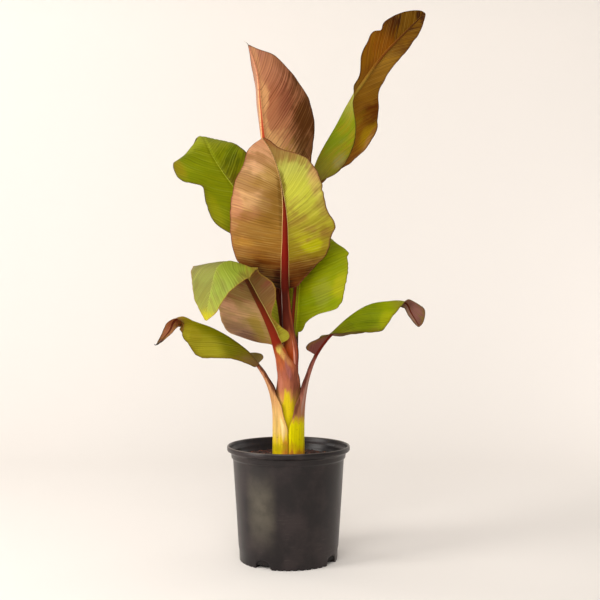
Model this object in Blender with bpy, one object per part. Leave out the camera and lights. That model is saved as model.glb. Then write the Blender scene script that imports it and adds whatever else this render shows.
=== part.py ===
"""Young red banana plant in a black nursery pot, at its real size.

Frame: metres, +Z up. The pot's axis is x = y = 0 and its foot stands on z = 0. The front is -Y.
The sizes and tables below are in millimetres and degrees.

A banana plant has no wood: its stem is the rolled sheaths of its leaves, one inside the other.
So each leaf is one closed sheet. It starts as a sheath round the stem, narrows to a channelled
stalk, goes on as the midrib and carries the blade, which is a thin sheet on both sides of the rib.
"""
import math

import bmesh
import bpy
import numpy as np
from mathutils import Matrix

MM = 0.001
GAP = 0.3                  # clearance between touching pieces

# pot
POT_HEIGHT = 240.0
RIM_RADIUS = 130.0
BAND_RADIUS = 121.4        # stepped band under the rim
WALL_TOP_RADIUS = 117.5
WALL_FOOT_RADIUS = 104.0
WALL = 2.2
FLOOR = 6.5                # height of the floor's upper side
FLOOR_RECESS = 3.0         # the floor's underside between its middle pad and the foot ring
POT_SIDES = 64
NOTCHES = 44               # small notches round the foot ring
NOTCH_WIDTH = 6.0
NOTCH_HEIGHT = 2.6
DRAIN_WIDTH = 34.0
DRAIN_HEIGHT = 18.0
DRAIN_AZIMUTHS = (-120, -30, 60, 150)

# soil
SOIL_TOP = 214.0
SOIL_SIDES = 48
SOIL_ROUGHNESS = 2.4
STEM_FOOT = 181.0
STEM_HOLE_RADIUS = 34.4

# leaves
BLADE = 0.8                # thickness of a blade
HALF_COLUMNS = 6           # columns from the back line to each margin
CHANNEL_COLUMNS = 2        # how many of them cover the rib beside a full blade
STALK_ROWS = 11
BLADE_ROWS = 20
LINE_STEPS = 1500          # fine steps along the back line

# One entry a leaf.
#   azimuth: side of the stem its back is on; plane: azimuth of the upright plane its back line
#   bends in; ring: outer radius of the sheath; wall: greatest thickness of the sheath
#   sheath: (height, half angle the sheath covers)
#   line: (x, y, z, turn, radius, half angle, wall) along the leaf's back, above the sheath;
#   turn rolls the sheet about the line, radius to wall are those of the channel
#   blade_from: the row of line where the blade starts; ends: share of the blade that is rounded
#   at its foot and at its tip
#   widths: (share along the blade, width on the minus side, on the plus side)
#   folds: (share, tilt minus, tilt plus, further curl to the margin minus, plus)
#   waves: (height, count, phase) of the margin, for the minus and the plus side
LEAVES = {
    "leaf_low_left": dict(
        azimuth=180, plane=180, ring=34, wall=6, blade_from=3, ends=(0.08, 0.2),
        sheath=[(181, 89.2), (230, 89.2), (272, 89)],
        line=[(-35, 0, 315, 0, 32, 74, 6), (-41, -1, 350, 0, 24, 66, 6.5),
              (-53, -3, 382, 0, 15, 68, 7.5), (-69, -6, 408, 0, 10, 75, 7.5),
              (-88, -9, 432, 0, 7.5, 82, 6.5), (-120, -14, 459, 0, 6, 86, 5.5),
              (-158, -22, 483, -4, 5, 88, 4.6), (-200, -32, 500, -8, 4, 88, 3.8),
              (-222, -38, 509, -14, 3.4, 88, 3.2), (-236, -42, 502, -45, 2.6, 88, 2.4),
              (-246, -45, 484, -78, 2, 88, 1.8), (-259, -47, 468, -88, 1.5, 88, 1.4),
              (-273, -48, 454, -90, 1.2, 88, 1.1)],
        widths=[(0, 20, 22), (0.14, 30, 30), (0.3, 45, 52), (0.46, 52, 70), (0.56, 48, 66),
                (0.66, 36, 46), (0.74, 18, 22), (0.82, 9, 14), (0.9, 5, 9), (1, 2, 3)],
        folds=[(0, 50, -30, 0, 0), (0.15, -20, -60, -20, -10), (0.5, -50, -66, -30, -16),
               (0.66, -50, -50, -10, -10), (0.85, -30, -30, 0, 0), (1, -30, -30, 0, 0)],
        waves=[(3, 3, 0.2), (3, 2.5, 0)]),
    "leaf_low_right": dict(
        azimuth=0, plane=0, ring=34, wall=6, blade_from=3, ends=(0.06, 0.12),
        sheath=[(181, 89.2), (230, 89.2), (272, 89)],
        line=[(35, 0, 315, 0, 32, 74, 6), (39, 0, 352, 0, 23, 66, 6.5), (48, 0, 392, 0, 14, 70, 7.5),
              (62, 0, 428, 0, 9.5, 76, 8), (82, 2, 458, 0, 7.5, 80, 7), (108, 6, 486, 0, 6, 85, 6),
              (140, 10, 514, 0, 5, 88, 5), (175, 14, 534, 5, 4.4, 88, 4.4),
              (215, 18, 541, 10, 3.6, 88, 3.6), (241, 20, 542, 22, 2.8, 88, 2.8),
              (252, 19, 538, 60, 2.2, 88, 2.2), (262, 18, 520, 86, 1.8, 88, 1.7),
              (272, 17, 503, 90, 1.5, 88, 1.4), (280, 16, 490, 92, 1.2, 88, 1.1)],
        widths=[(0, 28, 6), (0.06, 22, 10), (0.12, 13, 20), (0.18, 12, 32), (0.24, 22, 40),
                (0.34, 46, 57), (0.42, 58, 58), (0.52, 66, 56), (0.62, 62, 46), (0.7, 42, 30),
                (0.76, 30, 14), (0.82, 31, 8), (0.9, 30, 6), (1, 22, 6)],
        folds=[(0, 75, 60, 0, 0), (0.1, 60, 30, 0, 0), (0.26, -50, -30, -10, -10),
               (0.5, -64, -64, -20, -16), (0.72, -45, -50, -10, -10), (1, -20, -20, 0, 0)],
        waves=[(3, 3, 0.2), (3, 2.5, 0)]),
    "leaf_front_left": dict(
        azimuth=-105, plane=-122, ring=27.2, wall=5.4, blade_from=2, ends=(0.06, 0.1),
        sheath=[(181, 89), (300, 89), (345, 88.4)],
        line=[(-12.2, -28, 396, 0, 26, 74, 5.4), (-21.5, -33, 432, 0, 17, 70, 6.2),
              (-28.2, -37.6, 453, 0, 13.2, 72, 6.6), (-32.8, -41, 468, 0, 11, 74, 7),
              (-52, -54, 516, -4, 7.5, 80, 7), (-69.9, -70, 553, -6, 6, 85, 5.6),
              (-86.1, -92, 586, -6, 5.2, 88, 4.8), (-99.7, -116, 607, -8, 4.6, 88, 4.2),
              (-115.8, -142, 620, -8, 4, 88, 3.6), (-133.6, -166, 611, -8, 3.4, 88, 3),
              (-143.9, -182, 578, -8, 2.8, 88, 2.5), (-151, -188, 541, -8, 2, 88, 1.8),
              (-155.7, -190, 507, -8, 1.2, 88, 1.1)],
        widths=[(0, 92, 26), (0.04, 118, 23), (0.08, 128, 14), (0.12, 122, 8), (0.16, 114, 6),
                (0.2, 111, 14), (0.23, 106, 25), (0.29, 100, 38), (0.35, 99, 41), (0.41, 100, 33),
                (0.47, 102, 30), (0.52, 102, 42), (0.58, 94, 58), (0.66, 82, 66), (0.73, 71, 66),
                (0.77, 69, 56), (0.81, 64, 45), (0.85, 58, 37), (0.89, 49, 30), (0.92, 35, 26),
                (0.96, 23, 22), (1, 8, 8)],
        folds=[(0, 20, 50, 0, 0), (0.19, 5, 30, 0, 0), (0.38, 10, 20, -5, 0), (0.47, 8, 4, -4, -5),
               (0.57, 6, -20, -6, -12), (0.67, 4, -28, -10, -14), (0.76, -2, -24, -12, -12),
               (0.86, -6, -14, -10, -10), (1, -10, -10, 0, 0)],
        waves=[(3, 2, 0.2), (3, 2.5, 0)]),
    "leaf_back_right": dict(
        azimuth=75, plane=80, ring=27.2, wall=5.4, blade_from=3, ends=(0.06, 0.12),
        sheath=[(181, 89.2), (300, 89.2), (345, 86)],
        line=[(6, 27.2, 375, 0, 23, 68, 5.4), (7, 28.5, 400, 0, 16, 70, 6),
              (11, 31, 440, 0, 11, 74, 6.5), (14.7, 34, 478, 0, 8, 80, 6.5),
              (18.6, 36, 525, 0, 6.5, 86, 6), (23.3, 40, 582, 0, 5.6, 88, 5.2),
              (30.9, 46, 629, 0, 5, 88, 4.6), (39.7, 58, 663, 0, 4, 88, 3.8),
              (48.6, 76, 681, 0, 3, 88, 3), (55.5, 98, 687, 0, 2, 88, 2),
              (60.3, 116, 672, 0, 1.2, 88, 1.1)],
        widths=[(0, 14, 12), (0.04, 14, 28), (0.08, 18, 42), (0.12, 29, 52), (0.16, 48, 60),
                (0.2, 80, 68), (0.24, 90, 78), (0.32, 96, 96), (0.42, 98, 110), (0.5, 98, 116),
                (0.6, 95, 108), (0.68, 90, 98), (0.73, 90, 92), (0.77, 78, 86), (0.81, 56, 76),
                (0.88, 38, 52), (1, 16, 16)],
        folds=[(0, 20, -15, 0, 0), (0.3, 10, -15, 0, 0), (0.6, 0, -10, 0, 0), (1, -10, -10, 0, 0)],
        waves=[(3, 2, 0.2), (3, 2.5, 0)]),
    "leaf_front": dict(
        azimuth=-75, plane=-90, ring=21, wall=5, blade_from=4, ends=(0.06, 0.07),
        sheath=[(181, 89), (300, 89), (385, 88)],
        line=[(5.5, -20.5, 405, -15, 20.7, 86, 5), (4.6, -22, 438, 0, 17.2, 82, 5.2),
              (-0.1, -25, 484, 0, 12.6, 80, 6), (-4.9, -28, 537, 0, 9.6, 86, 7),
              (-6.9, -31, 570, 0, 8.4, 88, 7), (-7.1, -37, 626, 0, 7.6, 88, 6.6),
              (-6.7, -44, 682, 0, 5.8, 88, 5.2), (-8.6, -56, 743, 0, 3.6, 88, 3.4),
              (-16.5, -74, 797, 0, 2.6, 88, 2.4), (-25.3, -90, 827, 0, 2, 88, 1.9),
              (-36, -104, 850, 0, 1.6, 88, 1.5), (-50.7, -116, 871, 0, 1.2, 88, 1.1)],
        widths=[(0, 34, 34), (0.04, 38, 33), (0.08, 58, 43), (0.12, 83, 55), (0.16, 97, 66),
                (0.2, 103, 79), (0.25, 109, 87), (0.33, 114, 93), (0.4, 116, 103), (0.44, 117, 97),
                (0.48, 118, 89), (0.54, 116, 84), (0.64, 107, 80), (0.74, 93, 69), (0.8, 81, 57),
                (0.84, 72, 39), (0.88, 63, 21), (0.92, 56, 12), (0.96, 54, 9), (1, 60, 6)],
        folds=[(0, 40, 30, 0, 0), (0.2, 10, 10, 15, 10), (0.6, 5, 5, 20, 10), (1, 0, 0, 0, 0)],
        waves=[(3, 2, 0.2), (3, 2.5, 0)]),
    "leaf_back_left": dict(
        azimuth=105, plane=90, ring=21, wall=5, blade_from=4, ends=(0.08, 0.08),
        sheath=[(181, 89), (300, 89), (385, 88)],
        line=[(-5.5, 20.5, 405, -15, 20.4, 86, 5), (-10, 23, 450, -15, 13.5, 80, 5.2),
              (-13, 26, 500, -15, 9.5, 80, 6.3), (-24, 31, 560, -15, 8, 86, 6.5),
              (-48, 39, 630, -15, 7, 88, 6), (-82, 48, 700, -15, 6, 88, 5.4),
              (-111, 60, 776, -15, 5.2, 88, 4.8), (-148, 74, 830, -15, 4.5, 88, 4.2),
              (-171, 88, 867, -14, 3.8, 88, 3.6), (-187, 108, 899, -12, 3.2, 88, 3),
              (-198, 132, 914, -10, 2.6, 88, 2.5), (-208, 158, 905, -8, 2, 88, 2),
              (-215, 178, 872, -6, 1.5, 88, 1.5), (-218, 190, 842, -5, 1.2, 88, 1.1)],
        widths=[(0, 20, 14), (0.12, 28, 30), (0.16, 30, 32), (0.2, 32, 51), (0.25, 34, 67),
                (0.33, 40, 71), (0.4, 54, 69), (0.45, 62, 62), (0.48, 66, 62), (0.52, 68, 84),
                (0.56, 69, 90), (0.62, 66, 86), (0.67, 59, 73), (0.71, 52, 40), (0.76, 46, 14),
                (0.82, 38, 8), (0.9, 26, 10), (1, 8, 6)],
        folds=[(0, 30, 10, 0, 0), (0.3, 10, 0, 0, 0), (0.5, 0, 0, 0, 0), (0.62, -2, -8, 0, -10),
               (0.7, -4, -20, 0, -26), (0.8, -8, -26, 0, -30), (1, -10, -30, 0, -16)],
        waves=[(3, 2, 0.2), (3, 2.5, 0)]),
    "leaf_middle": dict(
        azimuth=200, plane=180, ring=15.2, wall=12, blade_from=3, ends=(0.1, 0.08),
        sheath=[(181, 88), (300, 88), (380, 87)],
        line=[(-8, -4, 430, -24, 8.5, 86, 7.5), (-7, -5, 480, -40, 7.5, 86, 6.8),
              (-6.5, -7, 540, -70, 7, 86, 6.4), (-10, -9, 610, -84, 7, 88, 6.4),
              (-17.8, -10, 674, -90, 6.5, 88, 6), (-38.8, -14, 789, -90, 6, 88, 5.4),
              (-51.6, -20, 883, -90, 5, 88, 4.6), (-58.3, -28, 955, -90, 4, 88, 3.8),
              (-65.1, -38, 1022, -90, 2.6, 88, 2.5), (-82.4, -50, 1075, -90, 1.2, 88, 1.1)],
        widths=[(0, 10, 30), (0.2, 44, 74), (0.32, 48, 84), (0.4, 50, 95), (0.48, 50, 107),
                (0.56, 50, 118), (0.64, 50, 123), (0.72, 50, 120), (0.78, 49, 113), (0.84, 42, 90),
                (0.88, 26, 67), (0.92, 15, 48), (0.96, 6, 27), (1, 2, 6)],
        folds=[(0, 60, 40, 0, 0), (0.3, 88, 5, 0, 30), (0.5, 88, 5, 0, 45), (0.8, 84, 5, 0, 50),
               (1, 60, 0, 0, 20)],
        waves=[(1, 2, 0.2), (3, 2.5, 0)]),
    "leaf_top_right": dict(
        azimuth=20, plane=4, ring=15.2, wall=12, blade_from=5, ends=(0.08, 0.08),
        sheath=[(181, 88), (300, 88), (380, 87)],
        line=[(9, 4, 430, 0, 8.5, 86, 7.5), (11, 9, 480, 0, 8, 84, 7), (15, 16, 540, 0, 7.5, 86, 6.6),
              (22, 26, 620, 0, 7, 88, 6.4), (34, 38, 710, 0, 6.5, 88, 6), (48, 49, 785, 0, 6, 88, 5.6),
              (61.4, 56, 839, 0, 5.4, 88, 5), (107.4, 60, 927, 0, 5, 88, 4.6),
              (138, 62, 982, 16, 4.4, 88, 4.2), (164.4, 64, 1022, 56, 4, 88, 3.8),
              (205.9, 64, 1081, 90, 3.2, 88, 3), (258, 60, 1135, 90, 2.2, 88, 2.2),
              (296.5, 54, 1172, 90, 1.2, 88, 1.1)],
        widths=[(0, 30, 26), (0.04, 36, 34), (0.08, 62, 42), (0.12, 71, 50), (0.16, 75, 62),
                (0.2, 75, 73), (0.28, 68, 84), (0.34, 57, 94), (0.4, 49, 98), (0.44, 41, 93),
                (0.48, 30, 84), (0.52, 18, 67), (0.56, 12, 47), (0.6, 19, 37), (0.65, 34, 31),
                (0.72, 43, 30), (0.77, 49, 30), (0.8, 46, 30), (0.84, 46, 27), (0.88, 42, 24),
                (0.93, 33, 19), (1, 20, 8)],
        folds=[(0, -50, -50, 0, 0), (0.3, -50, -67, 0, 0), (0.45, -30, -50, 0, 0),
               (0.6, -10, -10, 0, 0), (1, -10, -10, 0, 0)],
        waves=[(3, 2, 0.2), (3, 2.5, 0)]),
}

COLOURS = {
    "leaf_low_left": (0.26, 0.28, 0.03),
    "leaf_low_right": (0.27, 0.30, 0.03),
    "leaf_front_left": (0.30, 0.20, 0.12),
    "leaf_back_right": (0.22, 0.38, 0.03),
    "leaf_front": (0.30, 0.16, 0.06),
    "leaf_back_left": (0.22, 0.30, 0.02),
    "leaf_middle": (0.34, 0.14, 0.08),
    "leaf_top_right": (0.24, 0.15, 0.03),
}


def clear_scene():
    """Start from an empty scene."""
    for item in list(bpy.data.objects):
        bpy.data.objects.remove(item, do_unlink=True)


def plain_material(name, colour, roughness):
    """A Principled material of one colour."""
    material = bpy.data.materials.new(name)
    material.use_nodes = True
    shader = material.node_tree.nodes["Principled BSDF"]
    shader.inputs["Base Color"].default_value = (*colour, 1.0)
    shader.inputs["Roughness"].default_value = roughness
    shader.inputs["Metallic"].default_value = 0.0
    return material


def add_object(name, mesh, material, sharp_angle=40.0):
    """Link a mesh as a smooth shaded object that carries one material."""
    thing = bpy.data.objects.new(name, mesh)
    bpy.context.scene.collection.objects.link(thing)
    mesh.materials.append(material)
    mesh.shade_smooth()
    mesh.set_sharp_from_angle(angle=math.radians(sharp_angle))
    return thing


def turned_mesh(name, profile, sides):
    """Turn a profile of (radius, height), foot to top to inside, into a closed mesh."""
    shape = bmesh.new()
    corners = [shape.verts.new((radius * MM, 0.0, height * MM)) for radius, height in profile]
    edges = [shape.edges.new(pair) for pair in zip(corners, corners[1:])]
    bmesh.ops.spin(shape, geom=corners + edges, cent=(0, 0, 0), axis=(0, 0, 1),
                   angle=math.tau, steps=sides, use_merge=True, use_duplicate=False)
    bmesh.ops.remove_doubles(shape, verts=shape.verts, dist=0.00001)
    bmesh.ops.recalc_face_normals(shape, faces=shape.faces)
    mesh = bpy.data.meshes.new(name)
    shape.to_mesh(mesh)
    shape.free()
    return mesh


def inner_wall(height):
    """Radius of the pot's inner wall at a height: a straight taper, wider in the band."""
    share = (height - FLOOR) / (SOIL_TOP - FLOOR)
    return (WALL_FOOT_RADIUS - WALL) + (WALL_TOP_RADIUS - WALL_FOOT_RADIUS) * share


def pot_profile():
    """Half section of the pot: underside, outer wall, rolled rim, inner wall and floor."""
    underside = [(0, 0), (30, 0), (33, FLOOR_RECESS), (89, FLOOR_RECESS), (92, 0)]
    outside = [
        (WALL_FOOT_RADIUS - 1.6, 0), (WALL_FOOT_RADIUS, 3),
        (WALL_TOP_RADIUS, 212), (BAND_RADIUS - 1, 215), (BAND_RADIUS, 224),
        (RIM_RADIUS - 1, 230), (RIM_RADIUS, 232.5), (RIM_RADIUS, POT_HEIGHT - 2),
        (RIM_RADIUS - 1.5, POT_HEIGHT)]
    inside = [
        (RIM_RADIUS - 3.5, POT_HEIGHT), (RIM_RADIUS - 5, POT_HEIGHT - 2), (RIM_RADIUS - 6, 231),
        (BAND_RADIUS - WALL, 225), (BAND_RADIUS - WALL - 1, 217),
        (inner_wall(SOIL_TOP - 3), SOIL_TOP - 3), (inner_wall(FLOOR + 2), FLOOR + 2),
        (inner_wall(FLOOR) - 2, FLOOR), (0, FLOOR)]
    return underside + outside + inside


def notch_cutters():
    """One object of small blocks that straddle the foot ring, evenly round it."""
    shape = bmesh.new()
    for number in range(NOTCHES):
        azimuth = math.tau * (number + 0.5) / NOTCHES
        block = bmesh.ops.create_cube(shape, size=1.0)
        bmesh.ops.scale(shape, verts=block["verts"],
                        vec=(20 * MM, NOTCH_WIDTH * MM, 2 * NOTCH_HEIGHT * MM))
        bmesh.ops.translate(shape, verts=block["verts"], vec=(WALL_FOOT_RADIUS * MM, 0, 0))
        bmesh.ops.rotate(shape, verts=block["verts"], cent=(0, 0, 0),
                         matrix=Matrix.Rotation(azimuth, 3, "Z"))
    mesh = bpy.data.meshes.new("notch_cutters")
    shape.to_mesh(mesh)
    shape.free()
    return mesh


def drain_cutters():
    """One object of four arched blocks that open the wall's foot and the floor's edge."""
    arch = [(-0.5, -0.2), (0.5, -0.2), (0.5, 0.45), (0.38, 0.78), (0.2, 0.96),
            (0, 1), (-0.2, 0.96), (-0.38, 0.78), (-0.5, 0.45)]
    shape = bmesh.new()
    for azimuth in DRAIN_AZIMUTHS:
        ring = [shape.verts.new((85 * MM, across * DRAIN_WIDTH * MM, up * DRAIN_HEIGHT * MM))
                for across, up in arch]
        face = shape.faces.new(ring)
        grown = bmesh.ops.extrude_face_region(shape, geom=[face])
        far = [item for item in grown["geom"] if isinstance(item, bmesh.types.BMVert)]
        bmesh.ops.translate(shape, verts=far, vec=(35 * MM, 0, 0))
        bmesh.ops.rotate(shape, verts=ring + far, cent=(0, 0, 0),
                         matrix=Matrix.Rotation(math.radians(azimuth), 3, "Z"))
    bmesh.ops.recalc_face_normals(shape, faces=shape.faces)
    mesh = bpy.data.meshes.new("drain_cutters")
    shape.to_mesh(mesh)
    shape.free()
    return mesh


def cut(thing, cutter_mesh):
    """Subtract a guide object from a piece."""
    cutter = bpy.data.objects.new(cutter_mesh.name, cutter_mesh)
    bpy.context.scene.collection.objects.link(cutter)
    cutter.hide_render = True
    cutter.display_type = "WIRE"
    subtract = thing.modifiers.new(cutter_mesh.name, "BOOLEAN")
    subtract.operation = "DIFFERENCE"
    subtract.solver = "EXACT"
    subtract.object = cutter


def make_pot():
    """Turned pot with the foot's notches and the drain openings cut out."""
    material = plain_material("black_plastic", (0.035, 0.031, 0.029), 0.5)
    pot = add_object("pot", turned_mesh("pot", pot_profile(), POT_SIDES), material)
    cut(pot, drain_cutters())
    cut(pot, notch_cutters())


def make_soil():
    """Plug of soil with a plain round hole for the stem and a lightly uneven top."""
    foot = FLOOR + GAP
    edge = SOIL_TOP - 3
    top_radii = (108, 96, 82, 68, 54, 42)
    profile = [(0, foot), (inner_wall(foot) - 2 - GAP, foot), (inner_wall(foot + 2) - GAP, foot + 2),
               (inner_wall(edge) - GAP, edge), (inner_wall(edge) - GAP - 1.5, SOIL_TOP - 1)]
    profile += [(radius, SOIL_TOP) for radius in top_radii]
    profile += [(STEM_HOLE_RADIUS, SOIL_TOP), (STEM_HOLE_RADIUS, STEM_FOOT - GAP), (0, STEM_FOOT - GAP)]
    mesh = turned_mesh("soil", profile, SOIL_SIDES)
    draw = np.random.default_rng(5)
    for corner in mesh.vertices:
        radius = math.hypot(corner.co.x, corner.co.y) / MM
        if corner.co.z > (SOIL_TOP - 0.5) * MM and radius > STEM_HOLE_RADIUS + 1:
            corner.co.z += draw.uniform(-1, 1) * SOIL_ROUGHNESS * MM
    material = plain_material("potting_soil", (0.045, 0.022, 0.014), 0.95)
    add_object("soil", mesh, material)


def through(keys, values, at):
    """Smooth curve through points: cubic pieces whose slopes are those of the neighbours."""
    keys = np.asarray(keys, float)
    values = np.asarray(values, float)
    at = np.clip(np.asarray(at, float), keys[0], keys[-1])
    slope = np.gradient(values, keys, axis=0)
    piece = np.clip(np.searchsorted(keys, at, side="right") - 1, 0, len(keys) - 2)
    span = (keys[piece + 1] - keys[piece])[:, None]
    t = (at - keys[piece])[:, None] / span
    rise = 3 * t**2 - 2 * t**3
    return (values[piece] * (1 - rise) + slope[piece] * span * (t**3 - 2 * t**2 + t)
            + values[piece + 1] * rise + slope[piece + 1] * span * (t**3 - t**2))


def eased(keys, values, at):
    """Values that ease from each key to the next and never overshoot."""
    keys = np.asarray(keys, float)
    values = np.asarray(values, float)
    at = np.clip(np.asarray(at, float), keys[0], keys[-1])
    piece = np.clip(np.searchsorted(keys, at, side="right") - 1, 0, len(keys) - 2)
    t = ((at - keys[piece]) / (keys[piece + 1] - keys[piece]))[:, None]
    rise = 3 * t**2 - 2 * t**3
    return values[piece] * (1 - rise) + values[piece + 1] * rise


def back_line(leaf):
    """Rows along the leaf's back: place, three directions, channel sizes, share of the blade."""
    azimuth = math.radians(leaf["azimuth"])
    start = (leaf["ring"] * math.cos(azimuth), leaf["ring"] * math.sin(azimuth))
    turn = leaf["plane"] - leaf["azimuth"]
    rows = [(*start, height, turn, leaf["ring"], half, leaf["wall"]) for height, half in leaf["sheath"]]
    rows = np.array(rows + leaf["line"], float)
    steps = np.linalg.norm(np.diff(rows[:, :3], axis=0), axis=1)
    chord = np.concatenate([[0.0], np.cumsum(steps)])

    fine = np.linspace(0, chord[-1], LINE_STEPS)
    line = through(chord, rows[:, :3], fine)
    run = np.concatenate([[0.0], np.cumsum(np.linalg.norm(np.diff(line, axis=0), axis=1))])
    first = float(np.interp(chord[len(leaf["sheath"]) + leaf["blade_from"]], fine, run))
    share = np.linspace(0, 1, BLADE_ROWS)
    share = 0.55 * (0.5 - 0.5 * np.cos(np.pi * share)) + 0.45 * share
    along = np.concatenate([np.linspace(0, first, STALK_ROWS)[:-1], first + (run[-1] - first) * share])
    key = np.interp(along, run, fine)

    place = through(chord, rows[:, :3], key)
    ahead = through(chord, rows[:, :3], key + 1.0) - through(chord, rows[:, :3], key - 1.0)
    ahead /= np.linalg.norm(ahead, axis=1)[:, None]
    plane = math.radians(leaf["plane"])
    level = np.array([-math.sin(plane), math.cos(plane), 0.0])
    outward = np.cross(level, ahead)
    outward /= np.linalg.norm(outward, axis=1)[:, None]
    sideways = np.cross(ahead, outward)
    turn, radius, half, wall = eased(chord, rows[:, 3:], key).T
    turn = np.radians(turn)[:, None]
    across = sideways * np.cos(turn) + outward * np.sin(turn)
    inward = sideways * np.sin(turn) - outward * np.cos(turn)
    blade_share = np.clip((along - first) / (run[-1] - first), 0, 1)
    return place, across, inward, radius, np.radians(half), wall, blade_share


def rounded_ends(share, foot, tip):
    """Quarter ellipse over the blade's foot and over its tip, 1 between them."""
    low = 1 - np.clip(1 - share / foot, 0, 1) ** 2
    high = 1 - np.clip(1 - (1 - share) / tip, 0, 1) ** 2
    return np.sqrt(low * high)


def leaf_sides(leaf):
    """Grids of points of the leaf's underside and upper side, from margin to margin.

    Each row is a cross-section. It runs along an arc, the channel of the sheath, stalk or rib, and
    then along the blade, which leaves the channel at the fold angle and goes on curling.
    """
    place, across, inward, radius, half, wall, share = back_line(leaf)
    folds = np.array(leaf["folds"], float)
    angles = np.radians(eased(folds[:, 0], folds[:, 1:], share))
    widths = np.array(leaf["widths"], float)
    widths = through(widths[:, 0], widths[:, 1:], share) * rounded_ends(share, *leaf["ends"])[:, None]
    widths = np.where(share[:, None] > 0, np.maximum(widths, 0), 0)
    arc = radius * half
    core = CHANNEL_COLUMNS / HALF_COLUMNS
    under = [None] * (2 * HALF_COLUMNS + 1)
    upper = [None] * (2 * HALF_COLUMNS + 1)
    for side, sign in enumerate((-1, 1)):
        width = widths[:, side]
        fold = angles[:, side]
        curl = angles[:, 2 + side]
        curl = np.where(np.abs(curl) < 0.001, 0.001, curl)
        height, count, phase = leaf["waves"][side]
        mix = width / (width + arc)
        for column in range(HALF_COLUMNS + 1):
            c = column / HALF_COLUMNS
            on_blade = min(c / core, 1) * arc + max((c - core) / (1 - core), 0) * width
            s = mix * on_blade + (1 - mix) * c * (arc + width)
            if column == HALF_COLUMNS:
                s = arc + width
            in_channel = s <= arc + 1e-9
            bend = np.minimum(s, arc) / radius
            t = np.clip((s - arc) / np.maximum(width, 1e-6), 0, 1)
            tilt = fold + curl * t
            reach = radius * np.sin(bend) + np.where(
                in_channel, 0, width * (np.sin(tilt) - np.sin(fold)) / curl)
            rise = radius * (1 - np.cos(bend)) + np.where(
                in_channel, 0, width * (np.cos(fold) - np.cos(tilt)) / curl)
            wave = (height * t**2 * np.sin(math.tau * (count * share + phase))
                    * np.sqrt(np.sin(np.pi * share)))
            reach = reach - wave * np.sin(tilt)
            rise = rise + wave * np.cos(tilt)
            corner = (np.abs(s - arc) < 1e-6 + 0.02 * width) & (width > 0.5)
            angle = np.where(in_channel, bend, tilt)
            angle = np.where(corner, 0.5 * (half + fold), angle)
            taper = np.clip(np.cos(0.5 * np.pi * s / arc), 0, 1) ** 0.8
            thickness = np.where(in_channel, BLADE + (wall - BLADE) * taper, BLADE)
            low = place + across * (sign * reach)[:, None] + inward * rise[:, None]
            up = across * (-sign * np.sin(angle) * thickness)[:, None]
            up = up + inward * (np.cos(angle) * thickness)[:, None]
            under[HALF_COLUMNS + sign * column] = low
            upper[HALF_COLUMNS + sign * column] = low + up
    return np.stack(under, axis=1), np.stack(upper, axis=1)


def halves(a, b, c, d):
    """Two triangles for each cell a, b, c, d of a grid of corner numbers."""
    first = np.stack([a, b, c], axis=-1).reshape(-1, 3)
    second = np.stack([a, c, d], axis=-1).reshape(-1, 3)
    return np.concatenate([first, second])


def make_leaf(name, leaf):
    """Closed sheet: both sides with the same diagonals, two margins and two ends."""
    under, upper = leaf_sides(leaf)
    rows, columns = under.shape[:2]
    low = np.arange(rows * columns).reshape(rows, columns)
    top = low + rows * columns
    below = halves(low[:-1, :-1], low[:-1, 1:], low[1:, 1:], low[1:, :-1])
    above = below[:, [0, 2, 1]] + rows * columns
    margins = [halves(low[:-1, 0], low[1:, 0], top[1:, 0], top[:-1, 0]),
               halves(low[1:, -1], low[:-1, -1], top[:-1, -1], top[1:, -1])]
    ends = [halves(low[0, 1:], low[0, :-1], top[0, :-1], top[0, 1:]),
            halves(low[-1, :-1], low[-1, 1:], top[-1, 1:], top[-1, :-1])]
    corners = np.concatenate([under.reshape(-1, 3), upper.reshape(-1, 3)]) * MM
    faces = np.concatenate([below, above, *margins, *ends])
    mesh = bpy.data.meshes.new(name)
    mesh.from_pydata(corners.tolist(), [], faces.tolist())
    add_object(name, mesh, plain_material(name + "_skin", COLOURS[name], 0.45))


def main():
    """Build the pot, the soil and the leaves."""
    clear_scene()
    make_pot()
    make_soil()
    for name, leaf in LEAVES.items():
        make_leaf(name, leaf)


main()
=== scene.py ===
"""Looks of a young red banana plant in its nursery pot: leaf skins, ribs and sheaths, plastic and soil.

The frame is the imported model: metres, +Z up, the pot's axis on x = y = 0, its foot on z = 0, the front
towards -Y. The tables are in millimetres and degrees and repeat those of the part's source, so every
piece keeps the form of the node that it stands for. Colours of surfaces are screen values from 0 to 255
and those of light are scene values from 0 to 1, where nothing else is said.
"""

import math

import bpy
import numpy as np
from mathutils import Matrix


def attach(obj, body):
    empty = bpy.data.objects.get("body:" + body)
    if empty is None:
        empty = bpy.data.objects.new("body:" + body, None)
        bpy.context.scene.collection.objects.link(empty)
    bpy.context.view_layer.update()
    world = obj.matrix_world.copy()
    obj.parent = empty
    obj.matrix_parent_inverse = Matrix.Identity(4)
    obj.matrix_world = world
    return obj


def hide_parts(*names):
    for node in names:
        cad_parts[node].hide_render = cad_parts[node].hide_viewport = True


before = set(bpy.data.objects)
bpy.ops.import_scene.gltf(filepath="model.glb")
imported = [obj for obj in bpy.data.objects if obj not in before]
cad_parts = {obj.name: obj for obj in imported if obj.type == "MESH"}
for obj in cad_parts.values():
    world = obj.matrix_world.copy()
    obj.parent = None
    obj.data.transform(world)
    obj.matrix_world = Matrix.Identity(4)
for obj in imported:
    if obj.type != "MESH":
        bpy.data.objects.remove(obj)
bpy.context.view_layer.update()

MM = 0.001
BODY = "root"

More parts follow.
